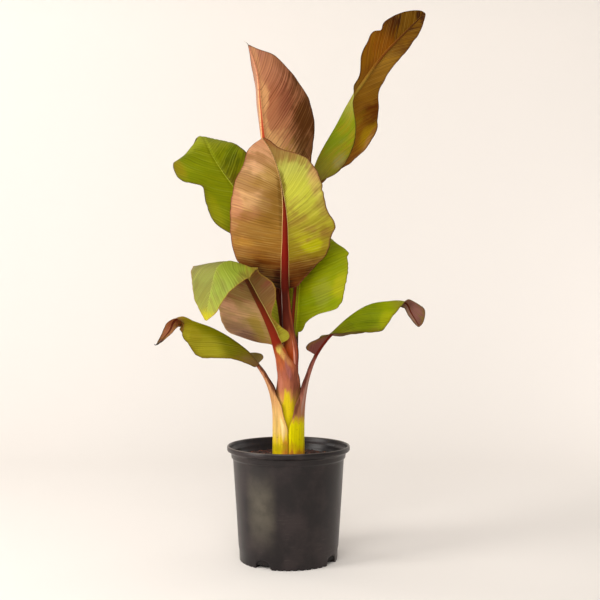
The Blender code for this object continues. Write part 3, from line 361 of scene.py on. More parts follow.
SKINS = {
    "leaf_front": {
        "Under Minus": [(0, (36, 8, 0)), (0.09, (62, 22, 4)), (0.16, (114, 62, 14)), (0.24, (150, 102, 36)),
                        (0.36, (152, 108, 40)), (0.6, (144, 106, 46)), (0.76, (180, 142, 78)),
                        (0.9, (214, 160, 116)), (1, (206, 144, 106))],
        "Under Plus": [(0, (104, 44, 8)), (0.09, (106, 58, 14)), (0.15, (124, 78, 20)),
                       (0.21, (154, 132, 26)), (0.36, (168, 155, 40)), (0.6, (208, 208, 72)),
                       (0.76, (198, 198, 88)), (0.87, (164, 134, 72)), (1, (146, 84, 46))],
        "Under Spots": [(0.36, -100, 0.24, 60, (168, 116, 58), 0.7),
                        (0.7, -96, 0.26, 60, (206, 156, 106), 0.8),
                        # (0.84, -58) is painted sheen on the upper left, over its peach
                        (0.84, -58, 0.18, 46, (236, 184, 138), 0.8),
                        (0.68, -70, 0.26, 50, (218, 170, 120), 0.55),
                        (0.48, -78, 0.06, 40, (150, 92, 60), 0.5), (0.3, -84, 0.05, 40, (190, 138, 50), 0.5),
                        # (0.55, -3) here and (0.5, -30) below are painted shade in the valley beside the
                        # sunken rib
                        (0.66, 70, 0.12, 22, (222, 184, 112), 0.6), (0.55, -3, 0.25, 8, (104, 70, 18), 0.7),
                        (0.56, -110, 0.3, 24, (196, 134, 98), 0.6), (0.5, -30, 0.16, 34, (124, 88, 30), 0.5),
                        (0.27, 46, 0.06, 26, (192, 190, 10), 0.8), (0.36, 80, 0.06, 16, (140, 108, 34), 0.5),
                        (0.33, 26, 0.05, 18, (190, 182, 34), 0.5), (0.56, 84, 0.12, 24, (216, 206, 92), 0.6),
                        (0.74, 84, 0.13, 34, (200, 148, 98), 0.8), (0.04, 90, 0.14, 60, (68, 36, 2), 0.8),
                        (0.0, -60, 0.1, 90, (30, 6, 0), 0.95)],
        "Upper Minus": [(0, (120, 110, 30)), (1, (150, 150, 50))],
        "Upper Plus": [(0, (120, 110, 30)), (1, (150, 150, 50))],
        "Rib": [(0, (84, 20, 10)), (0.25, (118, 22, 10)), (0.5, (112, 30, 10)), (0.62, (70, 40, 8)),
                (1, (84, 50, 22))],
        "Rib Taper": (0.42, 0.66, 0.2),
        "Outside": [(0, (206, 196, 10)), (0.4, (186, 76, 22)), (0.55, (160, 54, 10)), (0.66, (164, 66, 20)),
                    (0.74, (148, 76, 36)), (0.8, (100, 40, 24)), (0.9, (76, 24, 14)), (1, (64, 20, 12))],
        # the first spot is a painted highlight: a pale pink line down the stalk
        "Stalk Spots": [(0.62, 0.3, 0.14, 0.1, (236, 164, 140), 0.85),
                        (0.62, 0.95, 0.2, 0.34, (80, 40, 40), 0.8),
                        (0.62, 0.52, 0.2, 0.12, (150, 92, 84), 0.6),
                        (0.72, 0.1, 0.08, 0.4, (160, 86, 56), 0.4),
                        (0.9, 0.62, 0.16, 0.3, (150, 74, 44), 0.8),
                        (0.84, -0.9, 0.12, 0.3, (46, 12, 10), 0.7),
                        (0.95, -0.72, 0.1, 0.12, (190, 160, 150), 0.7)],
        "Margin": (84, 30, 18), "Edge Tint": (150, 92, 62), "Edge Width": 0.007, "Edge Amount": 0.7,
        "Line Amount": 0.9, "Beside Rib": (236, 198, 132), "Bloom": (150, 108, 50), "Bloom Amount": 0.55,
        "Vein Shade Tint": (150, 112, 60), "Crest Highlight": (240, 214, 130), "Vein Shade Amount": 0.4, "Crest Highlight Amount": 0.3,
        "Spacing": 0.0046, "Streak Amount": 0.8, "Margin Amount": 0.95},
    "leaf_middle": {
        "Under Minus": [(0, (150, 84, 50)), (0.6, (220, 166, 134)), (0.85, (200, 148, 122)),
                        (1, (180, 120, 96))],
        "Under Plus": [(0, (140, 84, 30)), (0.5, (214, 162, 106)), (0.62, (186, 122, 82)),
                       (0.75, (172, 104, 70)), (0.9, (192, 128, 94)), (1, (184, 124, 100))],
        # the first spot darkens the curled right part: partly its own copper, partly painted shade where it
        # turns away
        "Under Spots": [(0.6, 116, 0.5, 74, (84, 44, 2), 0.9), (0.62, 4, 0.4, 12, (236, 178, 118), 0.75),
                        (0.74, 48, 0.1, 22, (136, 74, 54), 0.5), (0.5, 34, 0.08, 26, (190, 142, 56), 0.6),
                        (0.92, 60, 0.08, 30, (120, 62, 30), 0.5),
                        (0.58, 16, 0.07, 36, (244, 194, 124), 0.55)],
        "Upper Minus": [(0, (130, 110, 30)), (1, (140, 120, 40))],
        "Upper Plus": [(0, (130, 110, 30)), (1, (140, 120, 40))],
        "Rib": [(0, (150, 50, 20)), (0.6, (180, 70, 40)), (0.8, (176, 96, 70)), (1, (190, 124, 98))],
        "Rib Taper": (0.3, 0.75, 0.24), "Margin": (70, 26, 12), "Edge Tint": (96, 48, 14),
        "Edge Width": 0.006, "Edge Amount": 0.6, "Beside Rib": (226, 166, 108), "Bloom": (190, 128, 88),
        "Bloom Amount": 0.35, "Vein Shade Tint": (120, 80, 54), "Crest Highlight": (226, 166, 100), "Vein Shade Amount": 0.6,
        "Crest Highlight Amount": 0.28, "Spacing": 0.0075, "Streak Amount": 0.9, "Margin Amount": 0.85},
    "leaf_top_right": {
        "Under Minus": [(0, (118, 76, 12)), (0.5, (144, 104, 30)), (0.62, (132, 80, 14)),
                        (0.76, (130, 74, 2)), (0.88, (60, 24, 0)), (1, (42, 14, 0))],
        "Under Plus": [(0, (150, 96, 40)), (0.25, (160, 98, 26)), (0.38, (156, 96, 10)),
                       (0.5, (142, 94, 22)), (0.7, (136, 96, 24)), (0.85, (92, 54, 8)), (1, (60, 26, 4))],
        "Under Spots": [(0.4, 76, 0.12, 14, (186, 148, 10), 0.85), (0.34, 94, 0.14, 14, (214, 160, 90), 0.6),
                        (0.48, 60, 0.1, 30, (104, 48, 0), 0.95), (0.4, 44, 0.1, 8, (110, 70, 10), 0.4),
                        (0.44, 8, 0.05, 12, (180, 174, 60), 0.7), (0.42, 46, 0.05, 16, (156, 128, 8), 0.6),
                        # (0.2, 92) is a painted highlight: a pale pink patch near the lower margin
                        (0.2, 92, 0.1, 18, (226, 170, 120), 0.6), (0.95, -2, 0.12, 36, (60, 26, 0), 0.6)],
        "Upper Minus": [(0, (104, 84, 30)), (0.12, (122, 118, 26)), (0.22, (118, 132, 8)),
                        (0.34, (132, 144, 10)), (0.45, (168, 166, 62)), (1, (150, 150, 50))],
        "Upper Spots": [(0.16, -88, 0.16, 34, (90, 56, 28), 0.8),
                        # the next spot is painted sheen: a grey patch on the lower green half
                        (0.18, -56, 0.08, 20, (150, 136, 100), 0.4)],
        "Rib": [(0, (140, 96, 30)), (0.5, (150, 120, 40)), (0.7, (104, 56, 10)), (1, (62, 28, 6))],
        "Rib Taper": (0.45, 0.6, 0.6), "Margin": (44, 20, 6), "Edge Tint": (96, 54, 14), "Edge Width": 0.006,
        "Edge Amount": 0.5, "Beside Rib": (170, 132, 46), "Line Amount": 0.4, "Bloom": (160, 112, 10),
        "Bloom Amount": 0.34, "Vein Shade Tint": (120, 88, 50), "Crest Highlight": (206, 170, 90), "Vein Shade Amount": 0.55,
        "Crest Highlight Amount": 0.3, "Streak Amount": 0.8, "Margin Amount": 0.8},
    "leaf_back_left": {
        "Upper Minus": [(0, (100, 92, 8)), (0.4, (96, 86, 2)), (0.54, (86, 92, 0)), (0.62, (108, 120, 0)),
                        (0.7, (138, 144, 34)), (1, (130, 136, 8))],
        "Upper Plus": [(0, (126, 118, 8)), (0.35, (128, 136, 0)), (0.58, (118, 128, 0)),
                       (0.66, (112, 120, 2)), (0.72, (140, 146, 34)), (1, (130, 134, 4))],
        "Upper Spots": [(0.62, 78, 0.1, 16, (150, 126, 22), 0.6), (0.3, 56, 0.16, 16, (152, 148, 6), 0.5)],
        "Groove": [(0, (150, 152, 30)), (0.5, (176, 178, 66)), (0.62, (150, 156, 40)),
                   (0.72, (120, 128, 2))],
        "Groove Line": (60, 56, 0), "Margin": (40, 22, 6), "Margin Amount": 0.95,
        "Vein Shade Tint": (140, 140, 80), "Crest Highlight": (176, 184, 70), "Vein Shade Amount": 0.45, "Crest Highlight Amount": 0.4,
        "Spacing": 0.0075, "Bloom": (152, 154, 6)},
    "leaf_back_right": {
        "Upper Minus": [(0, (140, 148, 14)), (0.14, (136, 146, 8)), (0.25, (138, 154, 0)),
                        (0.36, (156, 164, 0)), (0.55, (146, 158, 0)), (1, (142, 148, 14))],
        "Upper Plus": [(0, (144, 140, 30)), (1, (140, 138, 30))],
        "Upper Spots": [(0.4, -92, 0.14, 26, (184, 178, 24), 0.65),
                        (0.34, -50, 0.16, 24, (162, 164, 60), 0.5),
                        (0.5, -12, 0.12, 16, (128, 126, 6), 0.5)],
        "Groove": [(0, (150, 148, 30)), (0.2, (160, 110, 46)), (0.4, (120, 60, 30)), (1, (120, 90, 20))],
        "Groove Line": (96, 40, 14),
        "Outside": [(0, (200, 190, 20)), (0.5, (150, 100, 50)), (1, (170, 108, 50))],
        "Edge Tint": (160, 162, 24), "Vein Shade Amount": 0.3, "Vein Shade Tint": (160, 160, 90), "Margin": (90, 80, 14),
        "Crest Highlight": (190, 196, 80), "Crest Highlight Amount": 0.35, "Margin Amount": 0.7, "Edge Amount": 0.6,
        "Bloom": (166, 172, 10), "Bloom Amount": 0.35},
    "leaf_front_left": {
        "Under Minus": [(0, (150, 108, 56)), (0.1, (168, 136, 78)), (0.22, (182, 144, 98)),
                        (0.34, (126, 84, 50)), (0.45, (104, 64, 34)), (1, (140, 100, 70))],
        "Under Plus": [(0, (134, 100, 26)), (0.1, (136, 112, 30)), (0.2, (146, 100, 52)),
                       (0.32, (140, 86, 56)), (0.45, (116, 66, 32)), (1, (150, 110, 80))],
        "Under Spots": [(0.18, -98, 0.22, 52, (196, 146, 112), 0.9),
                        (0.1, -28, 0.12, 22, (150, 126, 42), 0.7),
                        (0.02, 14, 0.06, 20, (176, 170, 50), 0.85), (0.36, 34, 0.1, 26, (140, 78, 60), 0.6),
                        (0.02, -110, 0.08, 60, (124, 82, 62), 0.7)],
        "Upper Minus": [(0, (120, 110, 40)), (0.5, (136, 130, 50)), (0.66, (138, 136, 66)),
                        (0.8, (140, 146, 68)), (0.92, (146, 148, 62)), (1, (180, 168, 30))],
        "Upper Plus": [(0, (120, 110, 40)), (0.5, (146, 150, 40)), (0.7, (142, 156, 48)),
                       (0.85, (148, 162, 64)), (0.94, (160, 164, 64)), (1, (196, 184, 30))],
        # the first spot is painted sheen: a grey-beige patch towards the left margin
        "Upper Spots": [(0.68, -86, 0.16, 40, (140, 130, 92), 0.8),
                        (0.72, 64, 0.2, 26, (130, 112, 40), 0.75), (0.52, 30, 0.08, 30, (176, 140, 54), 0.7),
                        (0.98, 0, 0.04, 16, (196, 188, 30), 0.6),
                        (0.8, -48, 0.06, 14, (120, 104, 50), 0.45)],
        "Rib": [(0, (124, 34, 16)), (0.15, (112, 34, 12)), (0.4, (74, 34, 8)), (1, (150, 90, 40))],
        "Groove": [(0, (150, 150, 50)), (0.6, (166, 172, 86)), (0.8, (158, 170, 76)), (1, (180, 180, 50))],
        "Groove Line": (128, 138, 50), "Groove Amount": 0.35,
        "Outside": [(0, (200, 180, 8)), (0.3, (208, 186, 10)), (0.46, (206, 184, 14)),
                    (0.54, (200, 170, 24)), (0.6, (180, 122, 66)), (0.68, (160, 94, 66)),
                    (0.78, (154, 84, 58)), (0.88, (162, 84, 46)), (0.95, (156, 72, 36)), (1, (140, 52, 26))],
        "Stalk Spots": [(1.0, 0.62, 0.05, 0.6, (176, 170, 84), 0.9),
                        (0.96, 0.3, 0.05, 0.42, (206, 186, 84), 0.9),
                        (0.91, 0.5, 0.05, 0.36, (196, 152, 84), 0.8),
                        (0.86, 0.62, 0.05, 0.3, (180, 124, 78), 0.7),
                        (0.84, -0.5, 0.12, 0.3, (170, 84, 54), 0.6),
                        (0.68, 0.62, 0.16, 0.36, (118, 62, 46), 0.85),
                        (0.71, -0.3, 0.1, 0.3, (180, 110, 88), 0.6),
                        (0.57, -0.3, 0.06, 0.24, (214, 156, 96), 0.7),
                        (0.54, 0.72, 0.1, 0.3, (156, 110, 54), 0.8),
                        (0.76, 0.1, 0.05, 0.2, (150, 84, 70), 0.5),
                        (0.57, 0.1, 0.1, 0.26, (204, 182, 20), 0.9),
                        (0.79, 0.42, 0.09, 0.2, (150, 92, 88), 0.6)],
        "Stalk Margin": [(0, (170, 140, 20)), (0.5, (150, 120, 30)), (0.6, (104, 56, 34)),
                         (1, (110, 60, 34))],
        "Margin": (140, 104, 34), "Edge Tint": (200, 160, 70), "Edge Width": 0.004, "Edge Amount": 0.6,
        "Beside Rib": (206, 188, 104), "Line Amount": 0.85, "Bloom": (128, 116, 56), "Bloom Amount": 0.4,
        "Vein Shade Tint": (150, 136, 100), "Crest Highlight": (214, 196, 130), "Vein Shade Amount": 0.3, "Crest Highlight Amount": 0.2,
        "Margin Amount": 0.6},
    "leaf_low_left": {
        "Under Minus": [(0, (140, 110, 60)), (0.6, (170, 120, 60)), (0.74, (166, 100, 60)),
                        (0.86, (164, 104, 80)), (1, (110, 66, 50))],
        "Under Plus": [(0, (140, 110, 60)), (0.6, (170, 120, 60)), (0.74, (190, 108, 68)),
                       (0.86, (186, 114, 90)), (1, (110, 66, 50))],
        "Upper Minus": [(0, (150, 130, 84)), (0.1, (120, 100, 40)), (0.3, (110, 104, 8)),
                        (1, (130, 120, 10))],
        "Upper Plus": [(0, (136, 100, 56)), (0.1, (118, 98, 26)), (0.2, (116, 110, 4)),
                       (0.34, (116, 118, 0)), (0.48, (130, 130, 2)), (0.6, (156, 150, 10)),
                       (0.68, (160, 140, 24)), (0.76, (156, 104, 44)), (1, (130, 86, 60))],
        "Upper Spots": [(0.46, 48, 0.26, 40, (198, 188, 46), 0.7), (0.6, 30, 0.1, 22, (190, 176, 40), 0.7),
                        (0.06, 18, 0.1, 24, (138, 112, 66), 0.6)],
        "Outside": [(0, (200, 170, 10)), (0.24, (210, 184, 10)), (0.31, (220, 188, 40)),
                    (0.4, (216, 178, 96)), (0.55, (208, 164, 100)), (0.66, (190, 140, 88)),
                    (0.8, (182, 130, 88)), (1, (172, 112, 80))],
        "Stalk Spots": [(0.84, 1.0, 0.22, 0.36, (78, 26, 8), 0.92),
                        (0.22, 0.95, 0.1, 0.3, (200, 116, 44), 0.85),
                        # the next spot is a painted highlight: a narrow cream streak up the sheath
                        (0.42, 0.8, 0.14, 0.1, (250, 216, 150), 0.8),
                        (0.42, 0.5, 0.2, 0.1, (190, 152, 84), 0.6),
                        (0.62, 0.96, 0.1, 0.2, (196, 150, 88), 0.6),
                        (0.24, 0.6, 0.05, 0.5, (180, 162, 10), 0.6)],
        "Stalk Margin": [(0, (170, 130, 10)), (0.3, (180, 130, 30)), (0.45, (150, 100, 50)),
                         (0.6, (110, 66, 36)), (1, (104, 62, 40))],
        "Groove": [(0, (84, 30, 14)), (0.2, (74, 66, 4)), (0.5, (80, 74, 4)), (1, (136, 100, 36))],
        "Groove Line": (66, 40, 2), "Edge Tint": (130, 100, 26), "Vein Shade Tint": (140, 136, 70),
        "Crest Highlight": (214, 204, 96), "Spacing": 0.009, "Margin": (52, 30, 8), "Margin Amount": 0.8,
        "Bloom": (160, 152, 4)},
    "leaf_low_right": {
        "Under Minus": [(0, (112, 62, 56)), (0.08, (120, 66, 60)), (0.3, (122, 84, 60)),
                        (0.7, (146, 98, 86)), (0.86, (158, 106, 98)), (1, (124, 78, 70))],
        "Under Plus": [(0, (130, 80, 70)), (0.12, (142, 104, 92)), (0.3, (122, 90, 72)),
                       (0.7, (160, 112, 102)), (0.86, (180, 134, 130)), (1, (150, 104, 98))],
        "Upper Minus": [(0, (120, 104, 30)), (0.2, (104, 104, 4)), (0.4, (98, 112, 0)),
                        (0.56, (118, 132, 0)), (0.66, (144, 156, 0)), (0.74, (146, 142, 30)),
                        (1, (130, 100, 70))],
        "Upper Spots": [(0.4, -62, 0.2, 18, (140, 128, 30), 0.6), (0.62, -52, 0.1, 24, (164, 164, 10), 0.6)],
        "Outside": [(0, (216, 130, 10)), (0.18, (230, 186, 14)), (0.27, (240, 224, 0)),
                    (0.42, (226, 212, 2)), (0.46, (206, 168, 40)), (0.5, (172, 114, 74)),
                    (0.62, (172, 108, 86)), (0.76, (164, 104, 84)), (1, (146, 82, 70))],
        "Stalk Spots": [(0.24, -0.9, 0.05, 0.3, (214, 168, 20), 0.6),
                        (0.17, -0.95, 0.05, 0.4, (206, 124, 48), 0.85),
                        (0.16, -0.4, 0.05, 0.5, (206, 130, 40), 0.7),
                        (0.66, -0.5, 0.2, 0.16, (192, 158, 142), 0.6),
                        (0.8, -1.0, 0.22, 0.4, (84, 34, 30), 0.85),
                        (0.58, -0.9, 0.06, 0.2, (150, 106, 54), 0.6),
                        (0.55, -0.9, 0.08, 0.16, (96, 44, 36), 0.7)],
        "Stalk Margin": [(0, (180, 130, 10)), (0.4, (170, 140, 20)), (0.5, (130, 80, 60)),
                         (1, (100, 50, 46))],
        "Groove": [(0, (100, 50, 30)), (0.2, (110, 94, 14)), (1, (130, 114, 30))],
        "Groove Line": (84, 64, 2), "Edge Tint": (120, 98, 20), "Vein Shade Tint": (140, 140, 70),
        "Crest Highlight": (180, 186, 60), "Spacing": 0.009, "Margin": (52, 30, 12), "Margin Amount": 0.8,
        "Bloom": (146, 156, 2), "Line Amount": 0.15, "Beside Rib": (120, 70, 50)},
}


# Curves and grids

def spans(keys, at):
    """Span of keys that each place lies in, the place's share of that span, and the span's length."""
    at = np.clip(np.asarray(at, float), keys[0], keys[-1])
    index = np.clip(np.searchsorted(keys, at, side="right") - 1, 0, len(keys) - 2)
    length = (keys[index + 1] - keys[index])[:, None]
    return index, (at - keys[index])[:, None] / length, length


def through(keys, values, at):
    """Smooth curve through points: cubic pieces whose slopes are those of the neighbours."""
    slope = np.gradient(values, keys, axis=0)
    index, part, length = spans(keys, at)
    rise = 3 * part**2 - 2 * part**3
    return (values[index] * (1 - rise) + slope[index] * length * (part**3 - 2 * part**2 + part)
            + values[index + 1] * rise + slope[index + 1] * length * (part**3 - part**2))


def eased(keys, values, at):
    """Values that ease from each key to the next and never overshoot."""
    index, part, _ = spans(keys, at)
    rise = 3 * part**2 - 2 * part**3
    return values[index] * (1 - rise) + values[index + 1] * rise


def smooth_step(value, low, high):
    """0 below low, 1 above high, and an even S between them."""
    part = np.clip((np.asarray(value, float) - low) / (high - low), 0, 1)
    return part * part * (3 - 2 * part)


def unit(vectors):
    """Directions of length 1."""
    return vectors / np.linalg.norm(vectors, axis=1)[:, None]


def gentle_noise(at, draw, waves=9, finest=26.0):
    """Sum of sines of random count and phase, about -1 to 1, over a share from 0 to 1."""
    count = draw.uniform(2.0, finest, waves)
    phase = draw.uniform(0, math.tau, waves)
    size = 1 / np.sqrt(count)
    total = np.sin(math.tau * np.multiply.outer(at, count) + phase) @ size
    return total / np.sqrt(np.sum(size**2)) / 1.6


def cells(number):
    """Four-sided faces between neighbours of a grid of corner numbers."""
    return np.stack([number[:-1, :-1], number[:-1, 1:], number[1:, 1:], number[1:, :-1]],
                    axis=-1).reshape(-1, 4)


def ring_numbers(rows, sides):
    """Corner numbers of a grid of closed rings: the first column stands again after the last."""
    number = np.arange(rows * sides).reshape(rows, sides)
    return np.concatenate([number, number[:, :1]], axis=1)


def link(name, data):
    """Put a new object with this data in the scene, on the origin."""
    thing = bpy.data.objects.new(name, data)
    bpy.context.scene.collection.objects.link(thing)
    return thing


def add_mesh(name, corners, faces, material, smooth=True, sharp=None):
    """A mesh in millimetres, with one material. Edges that turn by more than sharp degrees stay sharp."""
    mesh = bpy.data.meshes.new(name)
    mesh.from_pydata((corners * MM).tolist(), [], faces)
    mesh.materials.append(material)
    if smooth:
        mesh.shade_smooth()
    if sharp is not None:
        mesh.set_sharp_from_angle(angle=math.radians(sharp))
    return link(name, mesh)


def add_values(mesh, name, values):
    """Write one number or one vector for each corner of a mesh."""
    kind, field = ("FLOAT", "value") if values.ndim == 1 else ("FLOAT_VECTOR", "vector")
    attribute = mesh.attributes.new(name, kind, "POINT")
    attribute.data.foreach_set(field, np.ascontiguousarray(values, dtype=np.float32).ravel())


def stand_for(thing, node):
    """Let a piece ride on the body and take a node's place."""
    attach(thing, BODY)
    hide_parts(node)


# Leaves

def back_line(leaf):
    """Rows along the leaf's back: place, two directions, channel sizes, run and share of the blade.

    The line is the smooth curve through the table's points, with the sheath's upright start before
    them, over the summed distances between them. Ahead is its slope, outward is level cross ahead,
    with level across the plane that the line bends in, and sideways is ahead cross outward. Across
    and inward are sideways and minus outward, turned about the line by the table's turn.
    """
    azimuth = math.radians(leaf["azimuth"])
    start = (leaf["ring"] * math.cos(azimuth), leaf["ring"] * math.sin(azimuth))
    turn = leaf["plane"] - leaf["azimuth"]
    rows = [(*start, height, turn, leaf["ring"], half, leaf["wall"]) for height, half in leaf["sheath"]]
    rows = np.array(rows + leaf["line"], float)
    steps = np.linalg.norm(np.diff(rows[:, :3], axis=0), axis=1)
    chord = np.concatenate([[0.0], np.cumsum(steps)])

    fine = np.linspace(0, chord[-1], LINE_STEPS)
    line = through(chord, rows[:, :3], fine)
    run = np.concatenate([[0.0], np.cumsum(np.linalg.norm(np.diff(line, axis=0), axis=1))])
    first = float(np.interp(chord[len(leaf["sheath"]) + leaf["blade_from"]], fine, run))
    share = np.linspace(0, 1, BLADE_ROWS)
    share = ROW_CROWDING * (0.5 - 0.5 * np.cos(np.pi * share)) + (1 - ROW_CROWDING) * share
    along = np.concatenate([np.linspace(0, first, STALK_ROWS)[:-1], first + (run[-1] - first) * share])
    key = np.interp(along, run, fine)

    place = through(chord, rows[:, :3], key)
    ahead = unit(through(chord, rows[:, :3], key + 1.0) - through(chord, rows[:, :3], key - 1.0))
    plane = math.radians(leaf["plane"])
    level = np.array([-math.sin(plane), math.cos(plane), 0.0])
    outward = unit(np.cross(level, ahead))
    sideways = np.cross(ahead, outward)
    turn, radius, half, wall = eased(chord, rows[:, 3:], key).T
    turn = np.radians(turn)[:, None]
    across = sideways * np.cos(turn) + outward * np.sin(turn)
    inward = sideways * np.sin(turn) - outward * np.cos(turn)
    sizes = dict(radius=radius, half=np.radians(half), wall=wall)
    sizes.update(along=along, first=first, share=np.clip((along - first) / (run[-1] - first), 0, 1))
    return place, across, inward, sizes


def rounded_ends(share, foot, tip, power):
    """Quarter oval over the blade's foot and quarter ellipse over its tip, 1 between them."""
    low = 1 - np.clip(1 - share / foot, 0, 1) ** power
    high = 1 - np.clip(1 - (1 - share) / tip, 0, 1) ** 2
    return low ** (1 / power) * np.sqrt(high)


def blade_widths(name, leaf, share, draw):
    """Width of the blade on the minus and the plus side, with its uneven margin and its nicks."""
    widths = np.array(leaf["widths"], float)
    ends = rounded_ends(share, *leaf["ends"], FOOT_POWER.get(name, 2.0))
    widths = through(widths[:, 0], widths[:, 1:], share) * ends[:, None]
    for side in (0, 1):
        widths[:, side] += MARGIN_JITTER * gentle_noise(share, draw) * np.clip(widths[:, side] / 20, 0, 1)
    for side, centre, depth, half_length in NICKS.get(name, []):
        widths[:, side] -= depth * np.exp(-((share - centre) / half_length) ** 2)
    return np.where(share[:, None] > 0, np.maximum(widths, 0), 0)


def vein_run(name, side, along, length, reach):
    """Run at which the vein through a point leaves the rib.

    A vein that leaves at run a passes a + lean(a) reach + bend reach squared, so that veins fan out
    towards the tip and never cross. The run is found for all points at once by halving a span.
    """
    foot, tip, power, bend = VEINS[name][side]
    target = along - bend * MM * reach**2
    low = target - (foot + max(tip, 0)) * reach
    high = target + 0 * reach
    for _ in range(VEIN_STEPS):
        middle = (low + high) / 2
        lean = foot + tip * np.clip(middle / length, 0, 1) ** power
        beyond = middle + lean * reach > target
        low, high = np.where(beyond, low, middle), np.where(beyond, middle, high)
    return (low + high) / 2


def pleats(name, vein, reach, draw):
    """Height of the shallow folds between the veins: two waves over the veins' run, uneven in depth."""
    spacing = VEINS[name][2]
    run = vein.ravel() / PLEAT_RUN
    depth = 1 + 0.5 * gentle_noise(run, draw, finest=14.0).reshape(vein.shape)
    shift = 1.6 * gentle_noise(run, draw, finest=9.0).reshape(vein.shape)
    wave = np.sin(math.tau * vein / spacing + shift)
    wave = wave + 0.5 * np.sin(math.tau * vein / (2.3 * spacing) + 2 * shift)
    return PLEAT_HEIGHT * depth * wave * smooth_step(reach, 1, 10)


def leaf_half(name, leaf, side, lines, width, angles, draw):
    """One half of the sheet, from the back line to a margin.

    A cross-section runs along an arc, the channel of the sheath, stalk or rib, and then along the
    blade, which leaves the channel at the fold angle and goes on curling. At each length along it
    the tilt is length / radius in the channel and fold + curl (length - arc) / width on the blade,
    and reach and rise are the sums of the tilt's cosine and sine up to there. Waves and pleats then
    move the point at right angles to the tilt.
    """
    place, across, inward, sizes = lines
    sign = (-1, 1)[side]
    radius, half, wall = (sizes[key][:, None] for key in ("radius", "half", "wall"))
    share = sizes["share"][:, None]
    width = width[:, None]
    fold = angles[:, side, None]
    curl = angles[:, 2 + side, None]
    curl = np.where(np.abs(curl) < 0.001, 0.001, curl)
    height, count, phase = leaf["waves"][side]
    arc = radius * half

    column = np.linspace(0, 1, HALF_COLUMNS + 1)[None, :]
    mix = width / (width + arc)
    on_blade = np.minimum(column / CHANNEL_SHARE, 1) * arc
    on_blade = on_blade + np.maximum((column - CHANNEL_SHARE) / (1 - CHANNEL_SHARE), 0) * width
    length = mix * on_blade + (1 - mix) * column * (arc + width)
    length[:, -1] = (arc + width)[:, 0]
    beyond = np.maximum(length - arc, 0)
    bend = np.minimum(length, arc) / radius
    part = np.clip(beyond / np.maximum(width, 1e-6), 0, 1)
    tilt = fold + curl * part
    in_channel = length <= arc + 1e-9
    reach = radius * np.sin(bend)
    reach = reach + np.where(in_channel, 0, width * (np.sin(tilt) - np.sin(fold)) / curl)
    rise = radius * (1 - np.cos(bend))
    rise = rise + np.where(in_channel, 0, width * (np.cos(fold) - np.cos(tilt)) / curl)
    wave = height * part**2 * np.sin(math.tau * (count * share + phase)) * np.sqrt(np.sin(np.pi * share))
    blade_length = sizes["along"][-1] - sizes["first"]
    vein = vein_run(name, side, sizes["along"][:, None] - sizes["first"], blade_length, beyond)
    calm = smooth_step(share, 0, 0.03) * smooth_step(share, 0.97, 0.8) * np.minimum(1, (1 - part) * 8)
    wave = wave + pleats(name, vein, beyond, draw) * calm
    reach = reach - wave * np.sin(tilt)
    rise = rise + wave * np.cos(tilt)

    turn_over = smooth_step(beyond, 0, RIB_TURN)
    angle = np.where(in_channel, bend, half * (1 - turn_over) + tilt * turn_over)
    taper = np.clip(np.cos(0.5 * np.pi * length / arc), 0, 1) ** 0.8
    thickness = np.where(in_channel, BLADE + (wall - BLADE) * taper, BLADE)
    low = (place[:, None, :] + across[:, None, :] * (sign * reach)[..., None]
           + inward[:, None, :] * rise[..., None])
    up = (across[:, None, :] * (-sign * np.sin(angle) * thickness)[..., None]
          + inward[:, None, :] * (np.cos(angle) * thickness)[..., None])
    rib = sign * np.clip(length / arc, 0, 2) + 0 * share
    skin = np.stack([sign * beyond, arc + width - length, rib, vein], axis=-1)
    return low, low + up, skin


def leaf_grids(name, leaf):
    """Underside, upper side and skin values of a leaf on one grid from margin to margin."""
    draw = np.random.default_rng(sum(map(ord, name)))
    lines = back_line(leaf)
    sizes = lines[-1]
    share = sizes["share"]
    folds = np.array(leaf["folds"], float)
    angles = np.radians(eased(folds[:, 0], folds[:, 1:], share))
    widths = blade_widths(name, leaf, share, draw)
    minus = leaf_half(name, leaf, 0, lines, widths[:, 0], angles, draw)
    plus = leaf_half(name, leaf, 1, lines, widths[:, 1], angles, draw)
    under, upper, skin = (np.concatenate([left[:, ::-1], right[:, 1:]], axis=1)
                          for left, right in zip(minus, plus))
    return under, upper, skin, sizes


